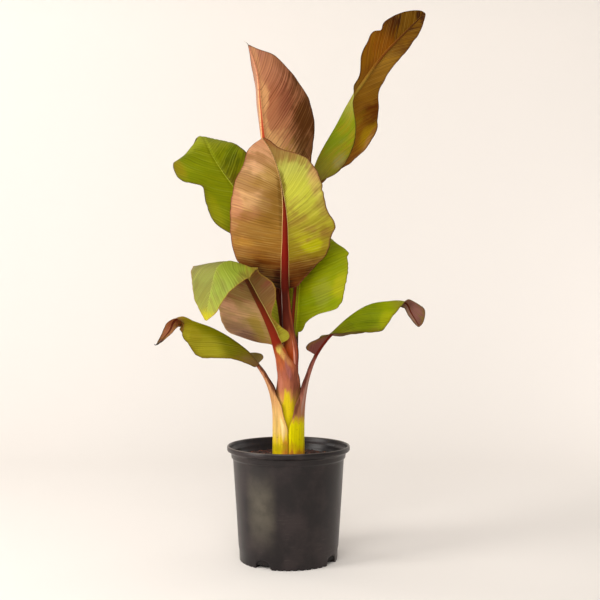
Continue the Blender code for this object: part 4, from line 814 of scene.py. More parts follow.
def make_leaf(name, leaf, material):
    """Closed sheet with smooth sides, and the values that its skin reads.

    The underside and the upper side are two grids with the same numbering. Strips of faces join
    them along both margins and both ends.

    leaf_run: metres along from the blade's foot, metres across beyond the rib, metres to the margin.
    leaf_share: share of the blade, share of the stalk, 1 on the upper side.
    leaf_rib: 0 on the back line, 1 where the channel ends, negative on the minus side.
    leaf_vein: metres along the rib at which the point's vein leaves it.
    """
    under, upper, skin, sizes = leaf_grids(name, leaf)
    rows, columns = under.shape[:2]
    low = np.arange(rows * columns).reshape(rows, columns)
    top = low + rows * columns
    margins = [np.stack([low[:-1, 0], low[1:, 0], top[1:, 0], top[:-1, 0]], axis=-1),
               np.stack([low[1:, -1], low[:-1, -1], top[:-1, -1], top[1:, -1]], axis=-1)]
    ends = [np.stack([low[0, 1:], low[0, :-1], top[0, :-1], top[0, 1:]], axis=-1),
            np.stack([low[-1, :-1], low[-1, 1:], top[-1, 1:], top[-1, :-1]], axis=-1)]
    faces = np.concatenate([cells(low), cells(top)[:, ::-1], *margins, *ends])
    corners = np.concatenate([under.reshape(-1, 3), upper.reshape(-1, 3)])
    thing = add_mesh(name + "_grown", corners, faces.tolist(), material)

    whole_row = np.ones(columns)
    along = np.outer(sizes["along"] - sizes["first"], whole_row)
    stalk = np.outer(np.clip(sizes["along"] / sizes["first"], 0, 1), whole_row)
    blade = np.outer(sizes["share"], whole_row)
    run = np.stack([along, skin[..., 0], skin[..., 1]], axis=-1).reshape(-1, 3) * MM
    shares = np.stack([blade, stalk, 0 * blade], axis=-1).reshape(-1, 3)
    for title, below, above in (("leaf_run", run, run),
                                ("leaf_share", shares, shares + np.array([0.0, 0.0, 1.0])),
                                ("leaf_rib", skin[..., 2].ravel(), skin[..., 2].ravel()),
                                ("leaf_vein", skin[..., 3].ravel() * MM, skin[..., 3].ravel() * MM)):
        add_values(thing.data, title, np.concatenate([below, above]))
    stand_for(thing, name)


def make_thread(name, thread, material, sides=10):
    """Closed tapering thread with a flat cap at each end.

    Each ring is the path's place plus radius (side cos turn + front sin turn), with side and front
    square to the path.
    """
    path = np.array(thread["path"], float)
    keys = np.linspace(0, 1, len(path))
    at = np.linspace(0, 1, THREAD_RINGS)
    line = through(keys, path, at)
    size = np.interp(at, keys, thread["radii"])
    ahead = unit(np.gradient(line, axis=0))
    side = unit(np.cross(ahead, [0.3, 1.0, 0.2]))
    front = np.cross(ahead, side)
    turn = (np.arange(sides) * math.tau / sides)[None, :, None]
    ring = side[:, None, :] * np.cos(turn) + front[:, None, :] * np.sin(turn)
    corners = (line[:, None, :] + ring * size[:, None, None]).reshape(-1, 3)
    number = ring_numbers(len(at), sides)
    caps = [number[0, :-1][::-1].tolist(), number[-1, :-1].tolist()]
    thing = add_mesh(name, corners, cells(number).tolist() + caps, material)
    stand_for(thing, thread["node"])


# Pot

def turned_piece(name, rows, material, sharp, poles=None):
    """Closed turned piece from rings of points.

    Without poles the last ring joins the first. With poles, heights on the axis, a fan of triangles
    closes the first ring and the last.
    """
    grid = np.stack(rows)
    number = ring_numbers(*grid.shape[:2])
    corners = grid.reshape(-1, 3)
    if poles is None:
        faces = cells(np.concatenate([number, number[:1]], axis=0)).tolist()
    else:
        pole = np.full(grid.shape[1], len(corners))
        faces = cells(number).tolist()
        faces += np.stack([pole, number[0, 1:], number[0, :-1]], axis=-1).tolist()
        faces += np.stack([pole + 1, number[-1, :-1], number[-1, 1:]], axis=-1).tolist()
        corners = np.concatenate([corners, [(0, 0, height) for height in poles]])
    return add_mesh(name, corners, faces, material, sharp=sharp)


def ring_points(radius, height, azimuth):
    """One ring of a turned piece: radius cos azimuth, radius sin azimuth and the height."""
    return np.stack([radius * np.cos(azimuth), radius * np.sin(azimuth), height + 0 * azimuth], axis=-1)


def round_the_pot(sides):
    """Azimuths of the columns of a turned piece."""
    return np.arange(sides) * math.tau / sides


def turn_from(azimuth, centre):
    """Signed angle from a centre to each azimuth."""
    return np.angle(np.exp(1j * (azimuth - centre)))


def foot_edge(azimuth):
    """Height of the wall's lower edge round the pot: chipped notches and four arched drains.

    A notch is a small arch of its own width and depth. A drain is half an ellipse on short upright sides.
    """
    draw = np.random.default_rng(7)
    height = np.zeros_like(azimuth)
    for number in range(NOTCHES):
        width = NOTCH_WIDTH * draw.uniform(0.75, 1.3)
        depth = NOTCH_HEIGHT * draw.uniform(0.7, 1.25)
        across = turn_from(azimuth, math.tau * (number + 0.5) / NOTCHES) * WALL_FOOT_RADIUS
        arch = 1 - np.clip(np.abs(2 * across / width), 0, 1) ** 3
        height = np.maximum(height, depth * arch)
    for drain in DRAIN_AZIMUTHS:
        across = turn_from(azimuth, math.radians(drain)) * WALL_FOOT_RADIUS
        share = np.abs(2 * across / DRAIN_WIDTH)
        arch = 0.35 + 0.65 * np.sqrt(np.clip(1 - share**2, 0, 1))
        height = np.where(share < 1, np.maximum(height, DRAIN_HEIGHT * arch), height)
    return height


def floor_reach(azimuth):
    """Outer radius of the floor: under the wall, and at a drain its distance over the turn's cosine."""
    reach = np.full_like(azimuth, WALL_FOOT_RADIUS - 1.2)
    for drain in DRAIN_AZIMUTHS:
        turn = turn_from(azimuth, math.radians(drain))
        cut = DRAIN_DEPTH_RADIUS / np.cos(turn)
        inside = np.abs(np.sin(turn) * cut) < DRAIN_WIDTH / 2
        reach = np.where(inside & (np.cos(turn) > 0), cut, reach)
    return reach


def inner_wall(height):
    """Radius of the pot's inner wall at a height: a straight taper."""
    share = (height - FLOOR) / (SOIL_TOP - FLOOR)
    return (WALL_FOOT_RADIUS - WALL) + (WALL_TOP_RADIUS - WALL_FOOT_RADIUS) * share


def ridge(height, centre, width):
    """A low rounded ridge: a cosine bump of the given width about its centre."""
    return 0.5 + 0.5 * np.cos(math.pi * np.clip((height - centre) / width, -1, 1))


def wall_rows(azimuth, edge):
    """Rings of the wall, up its outside from the chipped edge, over the rim and down its inside.

    The pressed wall is not quite round: three and five waves round it swell and dip by half a
    millimetre at half its height. Rings that would lie below the chipped edge stay just above it.
    """
    rows = [ring_points(WALL_FOOT_RADIUS - inset, edge + lift, azimuth) for inset, lift in WALL_LIP]
    for radius, height in WALL_FOOT:
        rows.append(ring_points(radius, np.maximum(height, edge + 1.2 + height / 40), azimuth))
    low, high = WALL_TAPER
    widen = (WALL_TOP_RADIUS - WALL_FOOT_RADIUS) / (high - low)
    profile = [(WALL_FOOT_RADIUS + widen * (height - low), height) for height in OUTSIDE_HEIGHTS]
    profile += BAND_AND_RIM
    profile += [(inner_wall(height), height) for height in INSIDE_HEIGHTS]
    wobble = (np.sin(3 * azimuth + 0.4) + 0.6 * np.sin(5 * azimuth + 2.0)) / 1.6
    for radius, height in profile:
        swell = WALL_SWELL * wobble * ridge(height, SWELL_MIDDLE, SWELL_REACH)
        rows.append(ring_points(radius + swell, np.maximum(height, edge + 1.5), azimuth))
    rows.append(ring_points(WALL_FOOT_RADIUS - WALL, np.maximum(8.0, edge + 0.8), azimuth))
    return rows


def floor_rows(azimuth, edge):
    """Rings of the floor from its middle pad out under the foot ring and back over its upper side."""
    reach = floor_reach(azimuth)
    inner, middle, outer = FOOT_RING_RADII
    at_drain = reach < middle
    foot_ring = np.where(edge > 0.4, np.minimum(edge, 5.0), 0.0)
    profile = [(PAD_RADIUS, 0.0), (PAD_RADIUS + 3, FLOOR_RECESS), (60, FLOOR_RECESS), (84, FLOOR_RECESS),
               (np.minimum(inner, reach - 0.6), FLOOR_RECESS),
               (np.minimum(middle, reach - 0.4), np.where(at_drain, FLOOR_RECESS, 0.0)),
               (np.minimum(outer, reach - 0.3), np.where(at_drain, FLOOR_RECESS, foot_ring)),
               (reach, np.where(at_drain, FLOOR_RECESS + 0.3, foot_ring)),
               (reach, FLOOR - 0.3), (reach - 1.0, FLOOR), (40, FLOOR)]
    return [ring_points(radius, height, azimuth) for radius, height in profile]


def make_pot(material):
    """Thin wall from its notched foot over the rolled rim and down inside, and the floor with its ring."""
    azimuth = round_the_pot(POT_SIDES)
    edge = foot_edge(azimuth)
    wall = turned_piece("pot_wall", wall_rows(azimuth, edge), material, 50)
    floor = turned_piece("pot_floor", floor_rows(azimuth, edge), material, 40, poles=(0.0, FLOOR))
    for thing in (wall, floor):
        stand_for(thing, "pot")


# Soil

def soil_height(x, y):
    """Height of the soil's top: four sizes of bumps, each a product or a sum of sines."""
    bumps = 1.6 * np.sin(0.071 * x + 1.0) * np.cos(0.083 * y + 0.3)
    bumps = bumps + 0.9 * np.sin(0.21 * x + 0.19 * y) + 0.7 * np.cos(0.31 * y - 0.17 * x + 2.0)
    bumps = bumps + 0.45 * np.sin(0.83 * x + 0.4) * np.sin(0.77 * y + 1.3)
    bumps = bumps + 0.35 * np.sin(1.9 * x + 1.1 * y) * np.cos(1.7 * y - 0.9 * x)
    return SOIL_TOP - 0.4 + 0.75 * bumps


def soil_rows(azimuth, foot, hole):
    """Rings of the plug: its foot, its side clear of the uneven wall, its rough top and the stem's hole."""
    clear = SOIL_GAP + WALL_SWELL
    edge = inner_wall(SOIL_TOP - 3) - clear
    outside = [(20.0, foot), (inner_wall(foot) - 2.3, foot), (inner_wall(foot + 2) - clear, foot + 2),
               (inner_wall(30) - clear, 30), (edge, SOIL_TOP - 3)]
    top = []
    for radius in np.linspace(edge - 0.8, STEM_HOLE_RADIUS + 0.3, SOIL_RINGS):
        fall = SOIL_FALL * smooth_step(radius, edge - 6, edge)
        top.append((radius, soil_height(radius * np.cos(azimuth), radius * np.sin(azimuth)) - fall))
    inside = [(STEM_HOLE_RADIUS, SOIL_TOP - 4), (STEM_HOLE_RADIUS, hole), (10.0, hole)]
    return [ring_points(radius, height, azimuth) for radius, height in outside + top + inside]


def make_soil(material, chip_skin):
    """Closed plug with a rough top and a round hole for the stem, and loose bark chips on top."""
    foot = FLOOR + SOIL_GAP
    hole = STEM_FOOT - SOIL_GAP
    rows = soil_rows(round_the_pot(SOIL_SIDES), foot, hole)
    plug = turned_piece("soil_plug", rows, material, 50, poles=(foot, hole))
    for thing in (plug, make_chips(chip_skin)):
        stand_for(thing, "soil")


def rolled(first, second, angle):
    """Two coordinates turned by an angle for each chip."""
    cosine = np.cos(angle)[:, None]
    sine = np.sin(angle)[:, None]
    return first * cosine - second * sine, first * sine + second * cosine


def make_chips(material):
    """Bark chips: squashed cubes with moved corners, turned at random and half sunk in the soil."""
    draw = np.random.default_rng(11)
    cube = np.array([(x, y, z) for z in (-1, 1) for y in (-1, 1) for x in (-1, 1)], float)
    faces = np.array([(0, 2, 3, 1), (4, 5, 7, 6), (0, 1, 5, 4), (2, 6, 7, 3), (0, 4, 6, 2), (1, 3, 7, 5)])
    radius = np.sqrt(draw.uniform((STEM_HOLE_RADIUS + 5) ** 2, CHIP_REACH**2, CHIPS))
    azimuth = draw.uniform(0, math.tau, CHIPS)
    size = draw.uniform(0.5, 1.0, (CHIPS, 1, 3)) * np.array(CHIP_HALF_SIZE)
    size = size * draw.uniform(0.45, 1.15, (CHIPS, 1, 1))
    shape = cube[None] * size * draw.uniform(0.7, 1.0, (CHIPS, 8, 3))
    spin = draw.uniform(0, math.tau, CHIPS)
    lean = draw.uniform(-0.5, 0.5, CHIPS)
    x, z = rolled(shape[..., 0], shape[..., 2], lean)
    x, y = rolled(x, shape[..., 1], spin)
    centre_x = radius * np.cos(azimuth)
    centre_y = radius * np.sin(azimuth)
    ground = soil_height(centre_x, centre_y) - SOIL_FALL * smooth_step(radius, 108, 114)
    corners = np.stack([centre_x[:, None] + x, centre_y[:, None] + y, ground[:, None] + z + 0.4], axis=-1)
    number = np.arange(CHIPS)[:, None, None] * 8 + faces[None]
    thing = add_mesh("soil_chips", corners.reshape(-1, 3), number.reshape(-1, 4).tolist(), material,
                     smooth=False)
    add_values(thing.data, "chip_tone", np.repeat(draw.uniform(0, 1, CHIPS), 8))
    return thing


# Shader helpers

def linear(colour):
    """Scene colour of a screen colour given from 0 to 255."""
    share = np.asarray(colour, float) / 255
    value = np.where(share <= 0.04045, share / 12.92, ((share + 0.055) / 1.055) ** 2.4)
    return (*value.tolist(), 1.0)


def give(tree, node, values):
    """Link or set a node's inputs, each by its name or number."""
    for socket, value in values.items():
        if isinstance(value, bpy.types.NodeSocket):
            tree.links.new(value, node.inputs[socket])
        else:
            node.inputs[socket].default_value = value
    return node


def add(tree, kind, inputs=None, **settings):
    """Add a shader node with its settings and inputs."""
    made = tree.nodes.new("ShaderNode" + kind)
    for key, value in settings.items():
        setattr(made, key, value)
    return give(tree, made, inputs or {})


def maths(tree, operation, first, second=0.0, third=None, clamp=False):
    """Result of a maths node."""
    inputs = {0: first, 1: second}
    if third is not None:
        inputs[2] = third
    return add(tree, "Math", inputs, operation=operation, use_clamp=clamp).outputs[0]


def product(tree, first, *others):
    """Product of several values."""
    for other in others:
        first = maths(tree, "MULTIPLY", first, other)
    return first


def vector_maths(tree, operation, first, second=(0, 0, 0), output=0):
    """Result of a vector maths node."""
    return add(tree, "VectorMath", {0: first, 1: second}, operation=operation).outputs[output]


def parts_of(tree, vector):
    """The three numbers of a vector."""
    return add(tree, "SeparateXYZ", {0: vector}).outputs


def mixed(tree, share, first, second, blend="MIX"):
    """Mix of two colours."""
    made = add(tree, "Mix", {0: share, 6: first, 7: second}, data_type="RGBA", blend_type=blend)
    return made.outputs[2]


def toned(tree, colour, tone):
    """Colour made lighter or darker by a number."""
    grey = add(tree, "CombineXYZ", {0: tone, 1: tone, 2: tone}).outputs[0]
    return mixed(tree, 1.0, colour, grey, "MULTIPLY")


def stepped(tree, value, low, high, first=0.0, last=1.0):
    """Smooth step of a value from low to high."""
    made = add(tree, "MapRange", {0: value, 1: low, 2: high, 3: first, 4: last},
               interpolation_type="SMOOTHSTEP")
    return made.outputs[0]


def noise(tree, place, scale, detail=4.0, roughness=0.55, stretch=None):
    """Value of a noise texture, about 0.5 on average."""
    if stretch is not None:
        place = vector_maths(tree, "MULTIPLY", place, stretch)
    made = add(tree, "TexNoise", {"Vector": place, "Scale": scale, "Detail": detail, "Roughness": roughness})
    return made.outputs[0]


def ramp(tree, value, stops):
    """Colour of a ramp whose stops are (share, screen colour)."""
    made = add(tree, "ValToRGB", {0: value})
    made.color_ramp.interpolation = "EASE"
    band = made.color_ramp.elements
    while len(band) < len(stops):
        band.new(0.5)
    for element, (share, colour) in zip(band, stops):
        element.position = share
        element.color = linear(colour)
    return made.outputs[0]


def place_on(tree):
    """Place on the piece, in its own metres."""
    return add(tree, "TexCoord").outputs["Object"]


def stored(tree, name, kind="Fac"):
    """Number or vector that a mesh carries under a name."""
    return add(tree, "Attribute", attribute_name=name).outputs[kind]


def new_group(name, colours, vectors, numbers, outputs):
    """A node group with the names of its inputs by kind, and its outputs, name to kind."""
    tree = bpy.data.node_groups.new(name, "ShaderNodeTree")
    for kind, sockets in (("Color", colours), ("Vector", vectors), ("Float", numbers)):
        for socket in sockets:
            tree.interface.new_socket(socket, in_out="INPUT", socket_type="NodeSocket" + kind)
    for socket, kind in outputs.items():
        tree.interface.new_socket(socket, in_out="OUTPUT", socket_type="NodeSocket" + kind)
    return tree, tree.nodes.new("NodeGroupInput").outputs, tree.nodes.new("NodeGroupOutput")


def use_group(tree, group, inputs):
    """Outputs of a node group put to use in a tree."""
    made = tree.nodes.new("ShaderNodeGroup")
    made.node_tree = group
    return give(tree, made, inputs).outputs


def new_material(name):
    """A material with its shader tree and its Principled shader."""
    material = bpy.data.materials.new(name)
    material.use_nodes = True
    return material, material.node_tree, material.node_tree.nodes["Principled BSDF"]


def relief(tree, height, size):
    """Normal of a fine relief of a strength and a depth."""
    strength, depth = size
    made = add(tree, "Bump", {"Height": height, "Strength": strength, "Distance": depth})
    return made.outputs["Normal"]


# Leaf skin

def spot_group():
    """A soft oval spot of another colour: full inside two fifths of its half sizes, gone at its edge."""
    tree, value, result = new_group(
        "colour_spot", ("Colour", "Tint"), (),
        ("Along", "Across", "Fray", "Centre Along", "Centre Across", "Half Along", "Half Across", "Amount"),
        {"Colour": "Color"})
    ways = []
    for way in ("Along", "Across"):
        away = maths(tree, "SUBTRACT", value[way], value["Centre " + way])
        ways.append(maths(tree, "DIVIDE", away, value["Half " + way]))
    along, across = ways
    away = maths(tree, "SQRT", maths(tree, "MULTIPLY_ADD", along, along, product(tree, across, across)))
    away = maths(tree, "MULTIPLY_ADD", value["Fray"], 1.3, away)
    share = product(tree, stepped(tree, away, 0.4, 1.05, 1.0, 0.0), value["Amount"])
    give(tree, result, {"Colour": mixed(tree, share, value["Colour"], value["Tint"])})
    return tree


def vein_group():
    """Lines and streaks that follow the veins, all drawn over the run at which a vein leaves the rib.

    Broad marks the furrow of a vein every Spacing, Light the crest between two of them, each stronger
    and weaker by turns, and Fine a furrow every third of it. Streak is fine noise drawn out along the
    veins, Band the same in broad bands, Cloud is even noise.
    """
    tree, value, result = new_group("leaf_veins", (), ("Run", "Place"), ("Vein", "Spacing"),
                                    dict.fromkeys(VEIN_VALUES, "Float"))
    reach = parts_of(tree, value["Run"])[1]
    side = product(tree, maths(tree, "SIGN", reach), 3.0)
    wander = noise(tree, value["Place"], 22.0, detail=2.0)
    vein = maths(tree, "MULTIPLY_ADD", wander, 0.004, value["Vein"])

    def drawn(along, across, detail, roughness=0.55):
        """Noise over the run of the veins and the reach, each times its own scale."""
        place = add(tree, "CombineXYZ", {0: product(tree, vein, along), 1: product(tree, reach, across),
                                         2: side}).outputs[0]
        return noise(tree, place, 1.0, detail, roughness)

    made = {"Streak": drawn(330.0, 7.0, 4.0, 0.6), "Band": drawn(75.0, 10.0, 3.0),
            "Cloud": noise(tree, value["Place"], 17.0, detail=3.0)}
    peaks = (("Broad", 1.0, 0.4, 1.0), ("Light", 1.0, 0.6, 0.0), ("Fine", 0.33, 0.3, 1.0))
    for name, share, low, high in peaks:
        turn = maths(tree, "FRACT", maths(tree, "DIVIDE", vein, product(tree, value["Spacing"], share)))
        peak = maths(tree, "ABSOLUTE", maths(tree, "MULTIPLY_ADD", turn, 2.0, -1.0))
        made[name] = stepped(tree, peak, low, high)
    made["Broad"] = product(tree, made["Broad"], stepped(tree, drawn(150.0, 9.0, 2.0), 0.4, 0.68))
    made["Light"] = product(tree, made["Light"], stepped(tree, drawn(90.0, 14.0, 2.0), 0.42, 0.66))
    give(tree, result, made)
    return tree


def share_group():
    """Where a point lies for the colour bands: shares warped by streaks and clouds, so that bands fray."""
    tree, value, result = new_group(
        "leaf_place", (), ("Run", "Shares", "Place"), ("Streak", "Cloud"),
        dict.fromkeys(("Blade", "Reach", "Stalk", "Fray", "Grain"), "Float"))
    shares = parts_of(tree, value["Shares"])
    cloud = maths(tree, "SUBTRACT", value["Cloud"], 0.5)
    fray = maths(tree, "ADD", maths(tree, "SUBTRACT", value["Streak"], 0.5), cloud)
    grain = noise(tree, value["Place"], 1.0, detail=5.0, roughness=0.6, stretch=(230, 230, 16))
    give(tree, result, {
        "Blade": maths(tree, "MULTIPLY_ADD", fray, 0.14, shares[0]),
        "Reach": maths(tree, "MULTIPLY_ADD", cloud, 0.03, parts_of(tree, value["Run"])[1]),
        "Stalk": maths(tree, "MULTIPLY_ADD", maths(tree, "SUBTRACT", grain, 0.5), 0.14, shares[1]),
        "Fray": fray, "Grain": grain})
    return tree


def blade_colour(tree, value, run, shares):
    """Blade away from the rib: bloom, a tinted edge and streaks over its band colours, with the furrows
    darkened, partly the veins' own colour and partly painted shade, and the crests lightened as a painted
    highlight.
    """
    colour = mixed(tree, shares[2], value["Under"], value["Upper"])
    grown = stepped(tree, shares[0], 0.03, 0.26, 0.3, 1.0)
    patchy = maths(tree, "MULTIPLY_ADD", value["Cloud"], 1.2, value["Band"])
    bloom = product(tree, stepped(tree, patchy, 1.04, 1.28), value["Bloom Amount"], grown)
    colour = mixed(tree, bloom, colour, value["Bloom"])
    edge = stepped(tree, maths(tree, "DIVIDE", run[2], value["Edge Width"]), 0.0, 1.0, 1.0, 0.0)
    edge = product(tree, edge, value["Edge Amount"])
    edge = maths(tree, "MULTIPLY", edge, stepped(tree, value["Streak"], 0.25, 0.7, 0.5, 1.1), clamp=True)
    colour = mixed(tree, edge, colour, value["Edge Tint"])
    swing = product(tree, maths(tree, "SUBTRACT", value["Streak"], 0.5), value["Streak Amount"])
    colour = toned(tree, colour, maths(tree, "ADD", swing, 1.0))
    # furrows darker: partly the veins' own colour, partly painted shade of the pleats
    vein = maths(tree, "MULTIPLY_ADD", value["Fine"], 0.3, value["Broad"])
    vein = maths(tree, "MULTIPLY", vein, value["Vein Shade Amount"], clamp=True)
    colour = mixed(tree, vein, colour, mixed(tree, 1.0, colour, value["Vein Shade Tint"], "MULTIPLY"))
    # painted highlight on the crests between the veins
    crest = product(tree, value["Light"], value["Crest Highlight Amount"], grown)
    return mixed(tree, crest, colour, mixed(tree, 0.55, colour, value["Crest Highlight"]))


def rib_colour(tree, value, run, shares, rib, colour):
    """Midrib over the blade: the groove on the upper side, the round rib and the line beside it below."""
    inner = mixed(tree, stepped(tree, rib, 0.1, 0.24), value["Groove Line"], value["Groove"])
    near = product(tree, stepped(tree, rib, 0.3, 0.5, 1.0, 0.0), value["Groove Amount"])
    groove = mixed(tree, near, colour, inner)
    round_rib = maths(tree, "DIVIDE", rib, value["Rib Reach"])
    below = mixed(tree, stepped(tree, round_rib, 0.88, 1.02, 1.0, 0.0), colour, value["Rib"])
    beyond = maths(tree, "ABSOLUTE", run[1])
    beside = product(tree, stepped(tree, round_rib, 0.9, 1.0),
                     stepped(tree, beyond, 0.0002, 0.0013, 1.0, 0.0),
                     stepped(tree, round_rib, 1.1, 1.7, 1.0, 0.0), value["Line Amount"],
                     stepped(tree, run[0], 0.0, 0.03, 0.3, 1.0))
    return mixed(tree, shares[2], mixed(tree, beside, below, value["Beside Rib"]), groove)


def stalk_colour(tree, value, shares):
    """Sheath and stalk: outside and inside colours with an upright grain and small dark flecks."""
    colour = mixed(tree, shares[2], value["Outside"], value["Inside"])
    colour = toned(tree, colour, stepped(tree, value["Grain"], 0.3, 0.7, 0.8, 1.16))
    flecks = stepped(tree, noise(tree, value["Place"], 300.0, detail=2.0), 0.65, 0.72, 0.0, 0.5)
    return mixed(tree, flecks, colour, LEAF_FLECK)


def skin_group():
    """Colour, roughness, relief and thinness of a leaf from its band, rib, stalk and margin colours."""
    tree, value, result = new_group(
        "leaf_skin", (*BAND_COLOURS, *PLAIN_COLOURS), ("Run", "Shares", "Place"),
        ("Rib Place", "Rib Reach", "Grain", *VEIN_VALUES, *SKIN_AMOUNTS),
        {"Colour": "Color", "Roughness": "Float", "Height": "Float", "Thin": "Float"})
    run = parts_of(tree, value["Run"])
    shares = parts_of(tree, value["Shares"])
    rib = maths(tree, "ABSOLUTE", value["Rib Place"])
    on_stalk = stepped(tree, run[0], -0.016, 0.004, 1.0, 0.0)
    colour = blade_colour(tree, value, run, shares)
    colour = rib_colour(tree, value, run, shares, rib, colour)
    colour = mixed(tree, on_stalk, colour, stalk_colour(tree, value, shares))

    ragged = maths(tree, "MULTIPLY_ADD", value["Streak"], -0.0016, run[2])
    uneven = stepped(tree, value["Band"], 0.36, 0.6, 0.55, 1.0)
    margin = product(tree, stepped(tree, ragged, 0.0001, 0.0012, 1.0, 0.0),
                     product(tree, value["Margin Amount"], uneven))
    dry = mixed(tree, on_stalk, value["Margin"], value["Stalk Margin"])
    solid = maths(tree, "MAXIMUM", stepped(tree, rib, 0.9, 1.0, 1.0, 0.0), on_stalk)
    thin = maths(tree, "SUBTRACT", 1.0, solid)
    height = maths(tree, "MULTIPLY_ADD", value["Broad"], -0.6, value["Streak"])
    height = maths(tree, "MULTIPLY_ADD", value["Fine"], -0.25, height)
    give(tree, result, {
        "Colour": mixed(tree, margin, colour, dry),
        "Roughness": maths(tree, "MULTIPLY_ADD", value["Streak"], 0.2, 0.42),
        "Height": maths(tree, "MULTIPLY_ADD", height, thin, product(tree, value["Grain"], solid)),
        "Thin": thin})
    return tree


def add_spot(tree, group, colour, where, spot, size):
    """Lay one spot over a colour. Its sizes across are in units of the given size."""
    along, across, half_along, half_across, tint, amount = spot
    return use_group(tree, group, {
        "Colour": colour, "Along": where[0], "Across": where[1], "Fray": where[2], "Centre Along": along,
        "Centre Across": across * size, "Half Along": half_along, "Half Across": half_across * size,
        "Tint": linear(tint), "Amount": amount})[0]


def band_colours(tree, skin, spot, where, rib):
    """Colour bands of a leaf along its blade and its stalk, with the spots that lie on them."""
    bands = {}
    half = stepped(tree, rib, -0.08, 0.08)
    on_blade = (where["Blade"], where["Reach"], where["Fray"])
    for face in ("Under", "Upper"):
        minus = ramp(tree, where["Blade"], skin[face + " Minus"])
        plus = ramp(tree, where["Blade"], skin[face + " Plus"])
        bands[face] = mixed(tree, half, minus, plus)
        for row in skin[face + " Spots"]:
            bands[face] = add_spot(tree, spot, bands[face], on_blade, row, MM)
    for face in ("Rib", "Groove"):
        bands[face] = ramp(tree, where["Blade"], skin[face])
    for face in ("Outside", "Inside", "Stalk Margin"):
        bands[face] = ramp(tree, where["Stalk"], skin[face])
    on_stalk = (where["Stalk"], rib, maths(tree, "SUBTRACT", where["Grain"], 0.5))
    for row in skin["Stalk Spots"]:
        bands["Outside"] = add_spot(tree, spot, bands["Outside"], on_stalk, row, 1.0)
    return bands


def leaf_material(name, skin, groups):
    """Skin of one leaf: bands and spots of colour, satin shine, fine relief and light that comes through."""
    material, tree, shader = new_material(name + "_skin")
    measures = {"Run": stored(tree, "leaf_run", "Vector"), "Place": place_on(tree)}
    shares = stored(tree, "leaf_share", "Vector")
    rib = stored(tree, "leaf_rib")
    lines = use_group(tree, groups["veins"], {
        **measures, "Vein": stored(tree, "leaf_vein"), "Spacing": skin["Spacing"]})
    where = use_group(tree, groups["place"], {
        **measures, "Shares": shares, "Streak": lines["Streak"], "Cloud": lines["Cloud"]})
    wide_until, thin_from, thin = skin["Rib Taper"]
    looks = use_group(tree, groups["skin"], {
        **measures, "Shares": shares, "Rib Place": rib, "Grain": where["Grain"],
        "Rib Reach": stepped(tree, where["Blade"], wide_until, thin_from, 1.0, thin),
        **{title: lines[title] for title in VEIN_VALUES},
        **band_colours(tree, skin, groups["spot"], where, rib),
        **{title: linear(skin[title]) for title in PLAIN_COLOURS},
        **{title: skin[title] for title in SKIN_AMOUNTS}})
    give(tree, shader, {
        "Base Color": looks["Colour"], "Roughness": looks["Roughness"], "Specular IOR Level": LEAF_SHINE,
        "Normal": relief(tree, looks["Height"], LEAF_RELIEF)})
    passed = mixed(tree, 1.0, looks["Colour"], LEAF_GLOW_TINT, "MULTIPLY")
    glow = add(tree, "BsdfTranslucent", {"Color": passed})
    both = add(tree, "MixShader", {0: product(tree, looks["Thin"], LEAF_GLOW), 1: shader.outputs[0],
                                   2: glow.outputs[0]})
    give(tree, tree.nodes["Material Output"], {"Surface": both.outputs[0]})
    return material


# Skins of the pot, the soil and the threads

def wear_and_highlight_group():
    """Black plastic: clouds of dust, fine level scratches and specks, with a painted highlight: a lighter
    patch on the side where the key light's reflection falls, and a lighter band along the rim's top.
    """
    tree, value, result = new_group("plastic_wear_and_highlight", (), ("Place",), (),
                                    {"Colour": "Color", "Roughness": "Float", "Height": "Float"})
    place = value["Place"]
    upright = parts_of(tree, place)[2]
    cloud = noise(tree, place, 16.0, detail=5.0, roughness=0.6)
    grain = noise(tree, place, 900.0, detail=2.0)
    level = noise(tree, place, 1.0, detail=4.0, roughness=0.7, stretch=(22, 22, 700))
    scratch = product(tree, stepped(tree, level, 0.6, 0.68), stepped(tree, cloud, 0.45, 0.62))
    # painted highlight: a lighter patch at mid height on the side that faces the key light's reflection
    flat = vector_maths(tree, "NORMALIZE", vector_maths(tree, "MULTIPLY", place, (1, 1, 0)))
    facing = vector_maths(tree, "DOT_PRODUCT", flat, HIGHLIGHT_SIDE, output=1)
    painted_highlight = product(tree, stepped(tree, facing, 0.935, 1.0), stepped(tree, upright, 0.02, 0.12),
                    stepped(tree, upright, 0.22, 0.13), stepped(tree, cloud, 0.35, 0.6, 0.5, 0.9))
    # painted highlight: a lighter band along the rim's top
    rim_highlight = product(tree, stepped(tree, upright, 0.2376, 0.2398), stepped(tree, cloud, 0.35, 0.6, 0.3, 0.7))
    specks = stepped(tree, grain, 0.66, 0.74, 0.0, 0.25)

    colour = mixed(tree, stepped(tree, cloud, 0.38, 0.66), linear(PLASTIC_DARK), linear(PLASTIC_LIGHT))
    for share, tone in ((product(tree, scratch, 0.4), SCRATCH_TONE), (painted_highlight, PAINTED_HIGHLIGHT_TONE), (rim_highlight, RIM_HIGHLIGHT_TONE),
                        (specks, SPECK_TONE)):
        colour = mixed(tree, share, colour, linear(tone))
    roughness = maths(tree, "MULTIPLY_ADD", cloud, 0.3, 0.2)
    give(tree, result, {
        "Colour": colour, "Roughness": maths(tree, "MULTIPLY_ADD", scratch, 0.15, roughness),
        "Height": maths(tree, "MULTIPLY_ADD", scratch, -0.6, product(tree, grain, 0.5))})
    return tree


